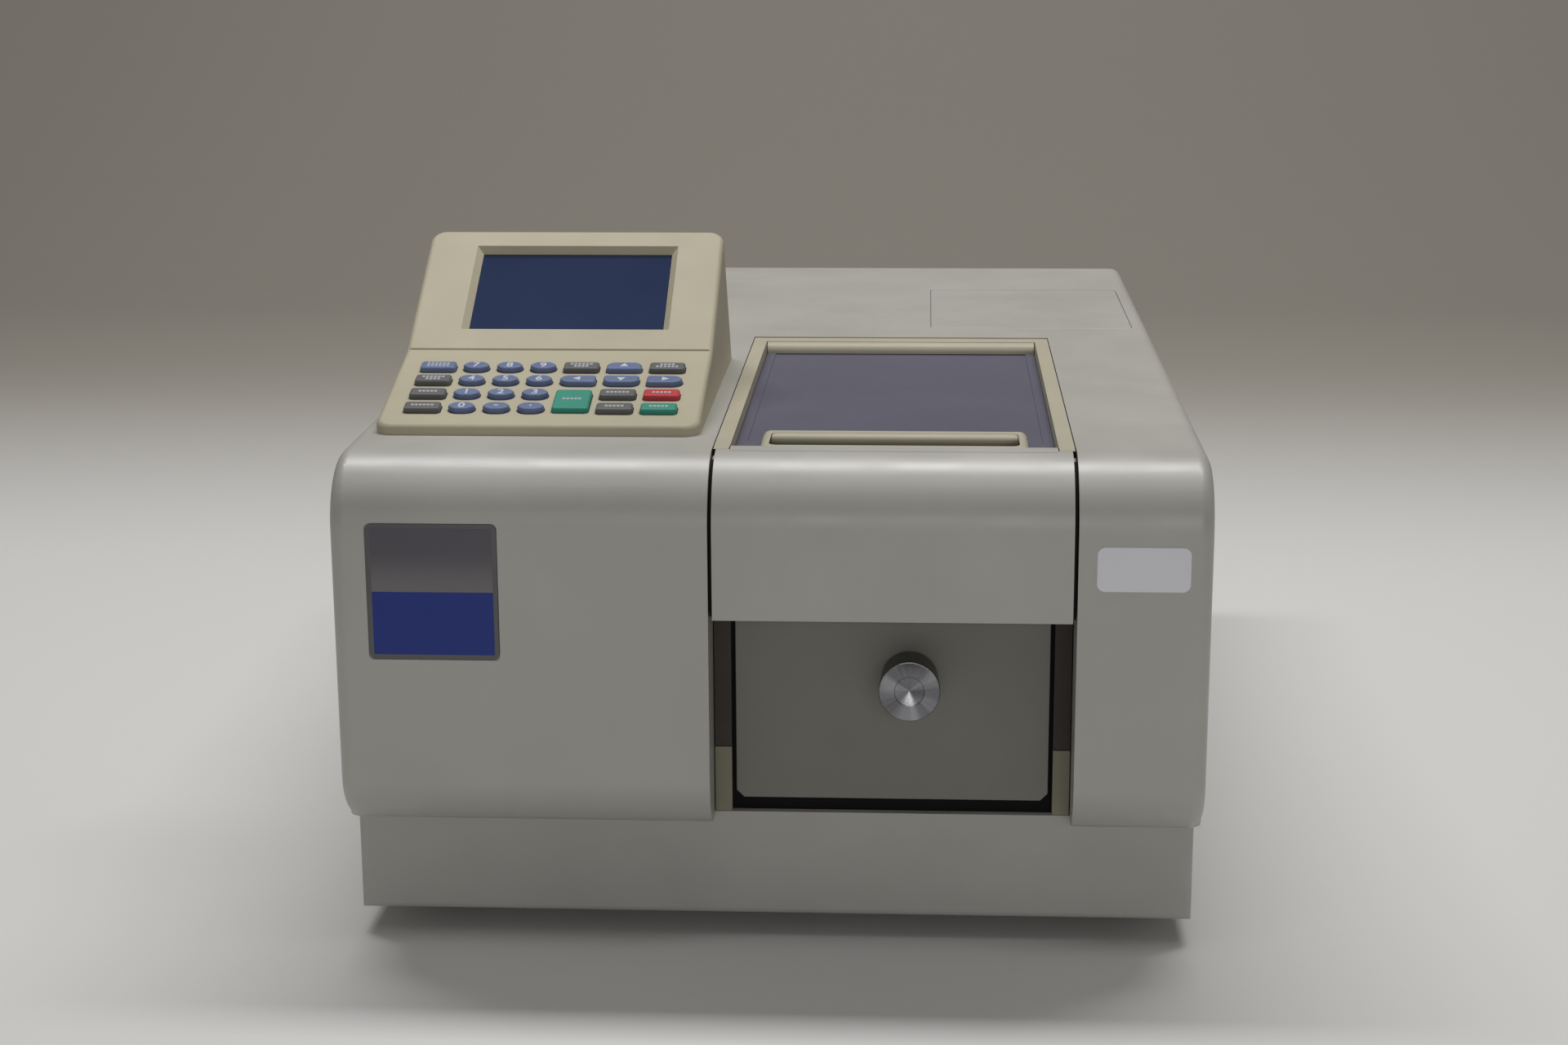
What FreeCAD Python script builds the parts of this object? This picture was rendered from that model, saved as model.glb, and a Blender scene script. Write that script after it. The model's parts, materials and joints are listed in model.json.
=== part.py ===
# Benchtop ultraviolet and visible spectrophotometer, millimetres, +Z up, front faces -Y
import FreeCAD, Part
import math
import os
import Sketcher
from types import SimpleNamespace
from FreeCAD import Placement, Rotation, Vector

os.makedirs("parts", exist_ok=True)
doc = FreeCAD.newDocument("spectrophotometer")

# Driving dimensions: one cell each, read back from the sheet below
SIZES = {
    # case
    "case_width": 400.0,
    "case_depth": 613.0,
    "foot_height": 12.0,
    "base_height": 52.0,
    "hood_height": 173.0,
    "front_overhang": 25.0,
    "base_inset": 2.4,
    "lip_drop": 1.9,
    "hood_wall": 3.5,
    "hood_edge_radius": 7.0,
    "brow_radius": 32.5,
    "chin_radius": 28.0,
    "chin_angle": 65.0,
    "tray_wall": 3.0,
    "tray_corner_radius": 4.0,
    "tray_rim_width": 14.0,
    "rear_recess": 5.5,
    "rear_plate": 1.5,
    "foot_radius": 14.0,
    "foot_taper": 2.0,
    "foot_side_inset": 35.0,
    "foot_end_inset": 46.0,
    # sample bay and its lid
    "right_column": 60.6,
    "console_bay_gap": 8.1,
    "bay_flange": 3.0,
    "flange_depth": 47.0,
    "front_flange": 3.5,
    "badge_left": 16.7,
    "badge_width": 60.6,
    "badge_bottom": 80.3,
    "badge_height": 64.3,
    "badge_corner": 2.3,
    "badge_recess": 1.0,
    "lid_length": 312.5,
    "lid_rear_gap": 0.8,
    "lid_side_gap": 0.4,
    "rail_width": 7.6,
    "lid_skirt": 2.5,
    "skirt_depth": 37.0,
    "nose_gap": 3.5,
    "cover_lip": 1.0,
    "brow_hollow": 12.0,
    "cover_wall": 3.0,
    "cover_height": 72.6,
    "cover_side_gap": 1.9,
    "cover_tongue": 7.5,
    "panel_recess": 6.0,
    "panel_plate": 2.5,
    "panel_border": 5.0,
    "panel_step": 0.5,
    "pan_plate": 2.5,
    "hinge_bar": 14.0,
    "hinge_bar_height": 8.0,
    "hinge_pin_radius": 1.5,
    "hinge_pin_depth": 6.0,
    "running_gap": 0.05,
    "seat_gap": 0.3,
    "handle_side_gap": 12.9,
    "handle_depth": 35.5,
    "handle_height": 22.0,
    "handle_wall": 4.5,
    "handle_front_wall": 3.0,
    "handle_floor": 3.0,
    "handle_corner": 4.0,
    # sample well and cell changer
    "well_wall": 2.5,
    "well_floor": 3.0,
    "well_rim_gap": 15.0,
    "well_side_gap": 0.6,
    "well_rear_gap": 22.5,
    "well_frame": 9.5,
    "plate_side_gap": 10.4,
    "plate_thickness": 2.0,
    "plate_bottom_gap": 6.5,
    "plate_height": 120.0,
    "plate_setback": 2.0,
    "plate_chamfer": 3.5,
    "sill_block_width": 8.0,
    "sill_block_height": 31.8,
    "seal_top_gap": 10.0,
    "seal_setback": 1.0,
    "rod_offset": 8.1,
    "rod_height": 66.0,
    "rod_radius": 3.0,
    "rod_hole_gap": 1.0,
    "knob_radius": 14.1,
    "knob_length": 20.6,
    "knob_rim": 5.0,
    "knob_waist": 13.2,
    "knob_chamfer": 0.9,
    "knob_dish_radius": 7.0,
    "knob_dish_depth": 3.0,
    "knob_plate_gap": 1.2,
    "knob_bore_depth": 12.0,
    "cell_pitch": 18.0,
    "cell_count": 4,
    "cell_width": 12.8,
    "cell_depth": 44.0,
    "cell_wall": 5.6,
    "cell_end_wall": 4.0,
    "beam_height": 58.0,
    "beam_radius": 5.0,
    "beam_port_radius": 9.0,
    "carriage_gap": 2.0,
    "carriage_width": 64.0,
    "carriage_base": 16.0,
    "carriage_clear": 13.0,
    "guide_radius": 4.0,
    "guide_spacing": 44.0,
    "guide_foot": 8.0,
    # console
    "console_side_gap": 10.5,
    "console_width": 154.0,
    "console_setback": 58.8,
    "console_front_height": 4.9,
    "keypad_run": 83.5,
    "keypad_rise": 21.2,
    "display_run": 83.4,
    "display_rise": 49.3,
    "console_foot_depth": 217.0,
    "console_wall": 3.0,
    "console_edge_radius": 3.0,
    "console_corner_radius": 8.0,
    "console_groove": 1.1,
    "cable_hole": 40.0,
    "glass_width": 98.3,
    "glass_height": 60.4,
    "glass_offset": 1.2,
    "glass_lift": 1.5,
    "glass_gap": 0.2,
    "glass_depth": 3.2,
    "glass_plate": 1.6,
    "bezel_slope": 3.4,
    "display_wall": 5.0,
    "module_border": 6.0,
    "module_depth": 8.0,
    # keys
    "key_height": 2.6,
    "key_below": 4.6,
    "key_travel": 1.2,
    "key_gap": 0.4,
    "key_bar_width": 17.4,
    "key_bar_depth": 8.2,
    "key_enter_depth": 21.4,
    "key_oval_width": 12.8,
    "key_corner": 1.6,
    "key_chamfer": 0.7,
    "key_row_pitch": 15.4,
    "key_first_row": 63.2,
    "key_round": 3.9,
    "key_skirt": 0.8,
    "key_board": 1.6,
    "key_board_side_gap": 2.0,
    "key_board_edge": 5.4,
    "key_post_radius": 2.0,
    "key_post_inset": 2.5,
    "key_side_share": 0.2565,
    # rear services
    "inlet_side_gap": 50.0,
    "inlet_height": 96.0,
    "inlet_flange_width": 34.0,
    "inlet_flange_height": 54.0,
    "inlet_flange": 2.0,
    "inlet_body_width": 28.0,
    "inlet_body_height": 47.0,
    "inlet_body_depth": 20.0,
    "socket_width": 24.0,
    "socket_height": 16.0,
    "socket_depth": 16.0,
    "rocker_end_gap": 0.8,
    "rocker_opening": 22.0,
    "rocker_width": 12.4,
    "rocker_swing": 20.0,
    "rocker_pin_radius": 1.2,
    "rocker_depth": 12.0,
    "rocker_set": 3.0,
    "rocker_crown": 4.0,
    "rocker_rise": 12.5,
    "socket_drop": 11.5,
    "blade_pitch": 7.0,
    "blade_rise": 2.0,
    "blade_width": 2.0,
    "blade_height": 4.0,
    "blade_length": 10.0,
    "port_side_gap": 160.0,
    "port_height": 96.0,
    "port_spacing": 62.0,
    "port_width": 39.0,
    "port_flange_width": 53.0,
    "port_flange_height": 12.6,
    "port_reach": 3.2,
    "port_depth": 12.0,
    "port_step": 3.0,
    "port_slot": 3.0,
    "fan_side_gap": 72.0,
    "fan_height": 150.0,
    "fan_size": 80.0,
    "fan_depth": 25.0,
    "fan_rim": 2.0,
    "fan_hub": 16.0,
    "fan_blade": 1.6,
    "fan_tip_gap": 1.5,
    "fan_spindle": 2.5,
    "fan_fixing_inset": 4.25,
    "fan_fixing_radius": 2.2,
    "fan_carrier": 4.0,
    "fan_arm": 5.0,
    "fan_end_gap": 1.0,
    "fan_blades": 7,
    "fan_chord": 20.0,
    "fan_pitch": 35.0,
    "vent_count": 12,
    "vent_inner": 14.0,
    "vent_outer": 36.0,
    "vent_width": 4.0,
    # inside
    "bench_height": 4.0,
    "bench_plate": 6.0,
    "bench_inset": 8.0,
    "bench_gap": 4.0,
    "arm_reach": 40.0,
    "post_inset": 14.0,
    "channel_gap": 4.0,
    "channel_width": 44.0,
    "post_radius": 7.0,
    "lamp_cover_side_gap": 10.0,
    "lamp_cover_width": 117.0,
    "lamp_cover_bay_gap": 32.2,
    "lamp_cover_depth": 147.0,
    "lamp_cover_plate": 1.9,
    "lamp_cover_ledge": 6.0,
    "lamp_cover_corner": 4.0,
    "lamp_house_wall": 2.0,
    "lamp_house_height": 140.0,
    "lamp_radius": 15.0,
    "lamp_length": 62.0,
    "lamp_margin": 6.0,
    "lamp_base_radius": 18.0,
    "lamp_base_height": 20.0,
    "mono_width": 200.0,
    "mono_height": 110.0,
    "mono_rear_gap": 38.2,
    "lens_radius": 12.0,
    "detector_gap": 6.0,
    "detector_width": 42.0,
    "detector_depth": 60.0,
    "detector_height": 60.0,
    "supply_inset": 6.0,
    "supply_post_gap": 1.0,
    "supply_width": 110.0,
    "supply_height": 38.0,
    "board_depth": 170.0,
    "board_plate": 1.6,
    "board_gap": 20.0,
    "board_margin": 8.0,
    "standoff": 8.0,
    "standoff_radius": 3.5,
    "chip_size": 24.0,
    "chip_height": 3.0,
}

sheet = doc.addObject("Spreadsheet::Sheet", "Sizes")
for row, (name, number) in enumerate(SIZES.items(), start=1):
    sheet.set(f"A{row}", name)
    sheet.set(f"B{row}", str(number))
    sheet.setAlias(f"B{row}", name)
doc.recompute()


# A size carries its number and the sheet expression that gives it
class Size:
    def __init__(self, number, text):
        self.number = float(number)
        self.text = text

    def __float__(self):
        return self.number

    def __neg__(self):
        return Size(-self.number, f"-({self.text})")

    def __add__(self, other):
        other = as_size(other)
        return Size(self.number + other.number, f"({self.text} + {other.text})")

    def __sub__(self, other):
        other = as_size(other)
        return Size(self.number - other.number, f"({self.text} - {other.text})")

    def __mul__(self, other):
        other = as_size(other)
        return Size(self.number * other.number, f"({self.text} * {other.text})")

    def __truediv__(self, other):
        other = as_size(other)
        return Size(self.number / other.number, f"({self.text} / {other.text})")

    __radd__ = __add__
    __rmul__ = __mul__


def as_size(value):
    if isinstance(value, Size):
        return value
    return Size(value, f"({float(value)})")


def cosine(angle):
    return Size(math.cos(math.radians(float(angle))), f"cos({angle.text} * 1 deg)")


def sine(angle):
    return Size(math.sin(math.radians(float(angle))), f"sin({angle.text} * 1 deg)")


def root(size):
    return Size(math.sqrt(float(size)), f"sqrt({size.text})")


s = SimpleNamespace(**{name: Size(sheet.get(name), "Sizes." + name) for name in SIZES})
ZERO = as_size(0)
next_row = len(SIZES) + 1


# A place worked out from other sizes gets a formula cell of its own
def derived(name, size):
    global next_row
    sheet.set(f"A{next_row}", name)
    sheet.set(f"B{next_row}", "=" + size.text.replace("Sizes.", ""))
    sheet.setAlias(f"B{next_row}", name)
    next_row += 1
    return Size(size.number, "Sizes." + name)


def bind(thing, prop, size):
    thing.setExpression(prop, as_size(size).text)


# Bodies, sketches and features
pieces = []


def keep(thing, label):
    thing.Label = label
    pieces.append(thing)
    return thing


def new_body(label, kept=True):
    body = doc.addObject("PartDesign::Body", label)
    body.Label = label
    if kept:
        pieces.append(body)
    return body


def new_sketch(body, role, offset=ZERO, centre=(ZERO, ZERO)):
    sketch = body.newObject("Sketcher::SketchObject", body.Label + "_sketch")
    origin = [plane for plane in body.Origin.OriginFeatures if plane.Role == role][0]
    sketch.AttachmentSupport = (origin, [""])
    sketch.MapMode = "FlatFace"
    for name, value in zip("xyz", (centre[0], centre[1], offset)):
        bind(sketch, "AttachmentOffset.Base." + name, value)
    return sketch


def pin_down(sketch, edge, end, point):
    for kind, value in zip(("DistanceX", "DistanceY"), point):
        index = sketch.addConstraint(Sketcher.Constraint(kind, -1, 1, edge, end, float(value)))
        sketch.setExpression(f"Constraints[{index}]", as_size(value).text)


# A closed outline: each step is a corner, or (corner, centre, radius) for an arc that
# ends there and takes the shorter way round its centre
def trace(sketch, steps):
    corners = [step if len(step) == 2 else step[0] for step in steps]
    ends = []
    for index, step in enumerate(steps):
        start = Vector(float(corners[index - 1][0]), float(corners[index - 1][1]), 0)
        end = Vector(float(corners[index][0]), float(corners[index][1]), 0)
        if len(step) == 2:
            ends.append((sketch.addGeometry(Part.LineSegment(start, end), False), 1, 2))
            continue
        centre = Vector(float(step[1][0]), float(step[1][1]), 0)
        angles = [math.atan2(p.y - centre.y, p.x - centre.x) for p in (start, end)]
        clockwise = (angles[1] - angles[0]) % (2 * math.pi) > math.pi
        low, high = reversed(angles) if clockwise else angles
        if high < low:
            high += 2 * math.pi
        circle = Part.Circle(centre, Vector(0, 0, 1), float(step[2]))
        arc = sketch.addGeometry(Part.ArcOfCircle(circle, low, high), False)
        ends.append((arc, 2, 1) if clockwise else (arc, 1, 2))
    for index in range(len(ends)):
        edge, first, last = ends[index]
        after, begin, unused = ends[(index + 1) % len(ends)]
        sketch.addConstraint(Sketcher.Constraint("Coincident", edge, last, after, begin))
        pin_down(sketch, edge, last, corners[index])
    for (edge, first, last), step in zip(ends, steps):
        if len(step) == 3:
            bind_radius(sketch, edge, step[2])


def bind_radius(sketch, edge, radius):
    place = sketch.addConstraint(Sketcher.Constraint("Radius", edge, float(radius)))
    sketch.setExpression(f"Constraints[{place}]", as_size(radius).text)


def rectangle(sketch, across, up):
    (left, right), (low, high) = across, up
    trace(sketch, [(left, low), (right, low), (right, high), (left, high)])


def rounded_rectangle(sketch, across, up, radius):
    four_corners(sketch, across, up, [radius] * 4)


# Corner radii run from the lower left corner anticlockwise
def four_corners(sketch, across, up, radii):
    (left, right), (low, high) = across, up
    first, second, third, fourth = radii
    trace(sketch, [
        (right - second, low),
        ((right, low + second), (right - second, low + second), second),
        (right, high - third),
        ((right - third, high), (right - third, high - third), third),
        (left + fourth, high),
        ((left, high - fourth), (left + fourth, high - fourth), fourth),
        (left, low + first),
        ((left + first, low), (left + first, low + first), first),
    ])


def disc(sketch, centre, radius):
    circle = Part.Circle(Vector(float(centre[0]), float(centre[1]), 0), Vector(0, 0, 1), float(radius))
    edge = sketch.addGeometry(circle, False)
    pin_down(sketch, edge, 3, centre)
    bind_radius(sketch, edge, radius)


def pad(body, sketch, length, reverse=False, middle=False):
    feature = body.newObject("PartDesign::Pad", body.Label + "_pad")
    feature.Profile = sketch
    feature.Reversed = reverse
    feature.Midplane = middle
    bind(feature, "Length", length)
    return feature


def pocket(body, sketch, length, reverse=False, middle=False):
    doc.recompute()
    before = body.Shape.Volume
    feature = body.newObject("PartDesign::Pocket", body.Label + "_pocket")
    feature.Profile = sketch
    feature.Reversed = reverse
    feature.Midplane = middle
    bind(feature, "Length", length)
    doc.recompute()
    if not feature.Shape.Volume < before:
        raise RuntimeError(f"a pocket in {body.Label} cuts nothing")
    return feature


# Turns a profile on the YZ plane about the level line at the given height
def revolve(body, sketch, level):
    ends = [Vector(0, float(level), 0), Vector(1, float(level), 0)]
    line = sketch.addGeometry(Part.LineSegment(*ends), True)
    pin_down(sketch, line, 1, (ZERO, level))
    pin_down(sketch, line, 2, (as_size(1), level))
    feature = body.newObject("PartDesign::Revolution", body.Label + "_turned")
    feature.Profile = sketch
    feature.ReferenceAxis = (sketch, ["Axis0"])
    feature.Angle = 360
    return feature


def edges_where(feature, test):
    names = []
    for index, edge in enumerate(feature.Shape.Edges, start=1):
        points = [vertex.Point for vertex in edge.Vertexes]
        if points and test(edge, points):
            names.append(f"Edge{index}")
    return names


def soften(body, base, test, size, kind="Fillet"):
    doc.recompute()
    names = edges_where(base, test)
    if not names:
        raise RuntimeError(f"no edge to soften in {body.Label}")
    feature = body.newObject("PartDesign::" + kind, body.Label + "_" + kind.lower())
    feature.Base = (base, names)
    bind(feature, "Radius" if kind == "Fillet" else "Size", size)
    return feature


# Plain primitives and booleans
def block(label, x, y, z):
    box = doc.addObject("Part::Box", label)
    for prop, (low, high) in zip(("Length", "Width", "Height"), (x, y, z)):
        bind(box, prop, high - low)
    for axis, (low, high) in zip("xyz", (x, y, z)):
        bind(box, "Placement.Base." + axis, low)
    return box


AXIS_TURN = {
    "x": Rotation(Vector(0, 1, 0), 90),
    "y": Rotation(Vector(1, 0, 0), -90),
    "z": Rotation(),
}


def cylinder(label, axis, start, radius, length):
    rod = doc.addObject("Part::Cylinder", label)
    rod.Placement = Placement(Vector(0, 0, 0), AXIS_TURN[axis])
    bind(rod, "Radius", radius)
    bind(rod, "Height", length)
    for name, value in zip("xyz", start):
        bind(rod, "Placement.Base." + name, value)
    return rod


def cut(label, base, tools):
    result = doc.addObject("Part::Cut", label)
    result.Base = base
    if len(tools) == 1:
        result.Tool = tools[0]
    else:
        bundle = doc.addObject("Part::Compound", label + "_tools")
        bundle.Links = tools
        result.Tool = bundle
    return result


def fuse(label, parts):
    result = doc.addObject("Part::MultiFuse", label)
    result.Shapes = parts
    return result


def group(label, parts):
    result = doc.addObject("Part::Compound", label)
    result.Links = parts
    return result


# Places that several pieces share
front = derived("front_face", -s.case_depth / 2)
back = derived("back_edge", s.case_depth / 2)
side = derived("side_face", s.case_width / 2)
seam = derived("seam_level", s.foot_height + s.base_height)
top = derived("top_level", seam + s.hood_height)
tray_bottom = s.foot_height
tray_floor = derived("tray_floor_level", tray_bottom + s.tray_wall)
tray_front = derived("tray_front_face", front + s.front_overhang)
tray_back = derived("tray_back_face", back - s.rear_recess)
tray_side = derived("tray_side_face", side - s.base_inset)
lip = derived("lip_level", seam - s.lip_drop)
console_left = derived("console_left_side", -side + s.console_side_gap)
console_right = derived("console_right_side", console_left + s.console_width)
console_centre = derived("console_middle", (console_left + console_right) / 2)
bay_left = derived("bay_left_side", console_right + s.console_bay_gap)
bay_right = derived("bay_right_side", side - s.right_column)
bay_centre = derived("bay_middle", (bay_left + bay_right) / 2)
bay_width = bay_right - bay_left
lid_back = derived("lid_back_edge", tray_front + s.lid_length)
bay_back = derived("bay_back_edge", lid_back + s.lid_rear_gap)
flange_bottom = derived("flange_level", top - s.flange_depth)
brow_y = derived("brow_centre", front + s.brow_radius)
brow_z = derived("brow_level", top - s.brow_radius)
lid_left = derived("lid_left_side", bay_left + s.lid_side_gap)
lid_right = derived("lid_right_side", bay_right - s.lid_side_gap)
rod_x = derived("rod_line", bay_centre + s.rod_offset)
rod_z = derived("rod_level", seam + s.rod_height)
beam_z = derived("beam_level", seam + s.beam_height)
bench_foot = derived("bench_underside", seam + s.bench_height)
bench_top = derived("bench_level", bench_foot + s.bench_plate)

well_left = derived("well_left_side", lid_left + s.lid_skirt + s.well_side_gap)
well_right = derived("well_right_side", lid_right - s.lid_skirt - s.well_side_gap)
plate_front = derived("plate_front_face", tray_front + s.plate_setback)
well_front = derived("well_front_face", plate_front + s.plate_thickness)
well_back = derived("well_back_face", lid_back - s.well_rear_gap)
well_rim = derived("well_rim_level", top - s.well_rim_gap)
well_floor_top = derived("well_floor_level", seam + s.well_floor)
carriage_length = s.cell_pitch * s.cell_count + 2 * s.cell_end_wall
carriage_travel = s.cell_pitch * (s.cell_count - 1)
bracket_back = well_front + s.well_wall + s.guide_foot
carriage_front = derived("carriage_front_face", bracket_back + s.carriage_gap + carriage_travel)
carriage_back = derived("carriage_back_face", carriage_front + carriage_length)
carriage_bottom = derived("carriage_level", well_floor_top + s.carriage_clear)
beam_y = derived("beam_line", carriage_front + s.cell_end_wall + s.cell_pitch / 2)
knob_back = derived("knob_back_face", plate_front - s.knob_plate_gap)
knob_front = derived("knob_front_face", knob_back - s.knob_length)
bench_front = derived("bench_front_edge", bay_back + s.bench_inset)
bench_back = derived("bench_back_edge", tray_back - s.fan_depth - s.bench_inset)
arm_front = derived("arm_front_edge", beam_y - s.arm_reach)
detector_x = derived("detector_line", side - s.hood_wall - s.detector_width / 2 - s.detector_gap)
console_front = derived("console_front_face", front + s.console_setback)
console_brink = derived("console_brink_level", top + s.console_front_height)
fold_y = derived("console_fold", console_front + s.keypad_run)
fold_z = derived("console_fold_level", console_brink + s.keypad_rise)
ridge_y = derived("console_ridge", fold_y + s.display_run)
ridge_z = derived("console_ridge_level", fold_z + s.display_rise)
console_back = derived("console_back_edge", console_front + s.console_foot_depth)
cover_right = derived("lamp_cover_right_side", side - s.lamp_cover_side_gap)
cover_left = derived("lamp_cover_left_side", cover_right - s.lamp_cover_width)
cover_front = derived("lamp_cover_front_side", bay_back + s.lamp_cover_bay_gap)
cover_back = derived("lamp_cover_back_side", cover_front + s.lamp_cover_depth)
inlet_x = derived("inlet_line", -side + s.inlet_side_gap)
port_x = derived("port_line", -side + s.port_side_gap)
fan_x = derived("fan_line", side - s.fan_side_gap)
post_front = derived("front_post_line", bench_front + s.post_inset)
post_back = derived("rear_post_line", bench_back - s.post_inset)
post_side = derived("side_post_line", side - s.foot_side_inset)
skirt_bottom = derived("lid_skirt_level", top - s.skirt_depth)
plate_left = derived("plate_left_side", bay_left + s.plate_side_gap)
plate_right = derived("plate_right_side", bay_right - s.plate_side_gap)
doc.recompute()


# Base tray: an open moulding with an inward rim that the hood and the sample well stand on
def base_tray():
    body = new_body("tray_block", kept=False)
    sketch = new_sketch(body, "XY_Plane", tray_bottom)
    rectangle(sketch, (-tray_side, tray_side), (tray_front, tray_back))
    slab = pad(body, sketch, s.base_height)
    front_y = float(tray_front)
    bottom_z = float(tray_bottom)

    def outer_corner(edge, points):
        upright = abs(points[0].z - points[-1].z) > 1
        underside = all(abs(p.z - bottom_z) < 0.01 for p in points)
        return upright or underside and all(abs(p.y - front_y) < 0.01 for p in points)

    soften(body, slab, outer_corner, s.tray_corner_radius)
    wall = s.tray_wall
    rim = wall + s.tray_rim_width
    hollow = block("tray_hollow", (-tray_side + wall, tray_side - wall),
                   (tray_front + wall, tray_back - wall), (tray_floor, seam - wall))
    mouth = block("tray_mouth", (-tray_side + rim, tray_side - rim),
                  (tray_front + rim, tray_back - rim), (seam - wall - 1, seam + 1))
    shell = cut("tray_shell", body, [hollow, mouth])
    posts = []
    for x, y, z in tray_posts():
        posts.append(cylinder("tray_post", "z", (x, y, tray_floor), s.post_radius, z - tray_floor))
    return keep(fuse("base_tray", [shell] + posts), "base_tray")


def tray_posts():
    reach = (plate_right - plate_left) / 3
    for x in (bay_centre - reach, bay_centre + reach):
        yield x, bay_back - s.foot_end_inset, seam
    for x in (-post_side, post_side):
        yield x, post_front, bench_foot
        yield x, post_back, bench_foot
    yield -post_side, arm_front + s.post_inset, bench_foot
    yield detector_x, beam_y, seam


# Rubber feet: four turned pads under the tray's corners
def rubber_feet():
    feet = []
    for x in (-side + s.foot_side_inset, side - s.foot_side_inset):
        for y in (tray_front + s.foot_end_inset, tray_back - s.foot_end_inset):
            foot = doc.addObject("Part::Cone", "rubber_foot")
            bind(foot, "Radius1", s.foot_radius - s.foot_taper)
            bind(foot, "Radius2", s.foot_radius)
            bind(foot, "Height", s.foot_height)
            bind(foot, "Placement.Base.x", x)
            bind(foot, "Placement.Base.y", y)
            feet.append(foot)
    return keep(group("rubber_feet", feet), "rubber_feet")


# Top housing: the moulded hood, its brow and chin rolled back, open behind and below,
# with the sample bay cut through it from the front
def hood_outline(inset, rear, floor):
    chin_z = lip + s.chin_radius * sine(s.chin_angle)
    chin_y = front + s.chin_radius
    radius = s.chin_radius - inset
    curl = (chin_y - radius * cosine(s.chin_angle), chin_z - radius * sine(s.chin_angle))
    brow = s.brow_radius - inset
    return [
        (rear, floor),
        (rear, top - inset),
        (brow_y, top - inset),
        ((front + inset, brow_z), (brow_y, brow_z), brow),
        (front + inset, chin_z),
        (curl, (chin_y, chin_z), radius),
    ]


def within_cover(inset):
    return (cover_left + inset, cover_right - inset), (cover_front + inset, cover_back - inset)


def top_housing():
    body = new_body("top_housing")
    sketch = new_sketch(body, "YZ_Plane")
    lip_back = tray_front - s.seat_gap
    trace(sketch, hood_outline(ZERO, back, seam) + [(lip_back, lip), (lip_back, seam)])
    shell = pad(body, sketch, s.case_width, middle=True)
    limit = float(side)
    rear = float(back)
    low = float(seam)

    def side_edge(edge, points):
        on_side = all(abs(abs(p.x) - limit) < 0.01 for p in points)
        behind = all(abs(p.y - rear) < 0.01 for p in points)
        below = all(p.z < low + 0.01 for p in points)
        return on_side and not behind and not below

    soften(body, shell, side_edge, s.hood_edge_radius)
    cavities = [
        (-side + s.hood_wall, bay_left - s.bay_flange, None),
        (bay_right + s.bay_flange, side - s.hood_wall, None),
        (bay_left - s.bay_flange, bay_right + s.bay_flange, bay_back + s.bay_flange),
    ]
    for left, right, start in cavities:
        sketch = new_sketch(body, "YZ_Plane", left)
        if start is None:
            outline = hood_outline(s.hood_wall, back + 1, seam - 1)
            sole = outline[-1][0][1]
            shelf = tray_front + s.tray_rim_width
            trace(sketch, outline + [(shelf, sole), (shelf, seam - 1)])
        else:
            rectangle(sketch, (start, back + 1), (seam - 1, top - s.hood_wall))
        pocket(body, sketch, right - left, reverse=True)
    sketch = new_sketch(body, "XY_Plane", top + 1)
    rectangle(sketch, (bay_left, bay_right), (front - 1, bay_back))
    pocket(body, sketch, s.hood_height + s.base_height)
    sketch = new_sketch(body, "YZ_Plane", bay_centre)
    rectangle(sketch, (tray_front + s.front_flange, bay_back + s.bay_flange + 1),
              (seam - 1, flange_bottom))
    pocket(body, sketch, bay_width + 2 * s.bay_flange + 2, middle=True)
    sketch = new_sketch(body, "XY_Plane", top)
    rounded_rectangle(sketch, (cover_left, cover_right), (cover_front, cover_back), s.lamp_cover_corner)
    pocket(body, sketch, s.lamp_cover_plate)
    sketch = new_sketch(body, "XY_Plane", top)
    rectangle(sketch, *within_cover(s.lamp_cover_ledge))
    pocket(body, sketch, s.hood_wall + 1)
    sketch = new_sketch(body, "XY_Plane", top + 1)
    disc(sketch, (console_centre, fold_y), s.cable_hole / 2)
    pocket(body, sketch, s.hood_wall + 2)
    for x in (bay_left, bay_right + s.bay_flange):
        sketch = new_sketch(body, "YZ_Plane", x)
        disc(sketch, (hinge_y, hinge_z), s.hinge_pin_radius)
        pocket(body, sketch, s.bay_flange)
    sketch = new_sketch(body, "XZ_Plane", -front + 1)
    left = -side + s.badge_left
    rounded_rectangle(sketch, (left, left + s.badge_width),
                      (seam + s.badge_bottom, seam + s.badge_bottom + s.badge_height), s.badge_corner)
    pocket(body, sketch, s.badge_recess + 1)
    return body


# Lamp cover: a plate let into the hood over the lamps
def lamp_cover():
    body = new_body("lamp_cover")
    gap = s.seat_gap
    sketch = new_sketch(body, "XY_Plane", top - s.lamp_cover_plate)
    rounded_rectangle(sketch, *within_cover(gap), s.lamp_cover_corner - gap)
    pad(body, sketch, s.lamp_cover_plate)
    ledge = s.lamp_cover_ledge + gap
    rib = s.hood_wall
    sketch = new_sketch(body, "XY_Plane", top - s.lamp_cover_plate)
    rectangle(sketch, *within_cover(ledge))
    rectangle(sketch, *within_cover(ledge + rib / 2))
    pad(body, sketch, rib, reverse=True)
    return body


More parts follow.
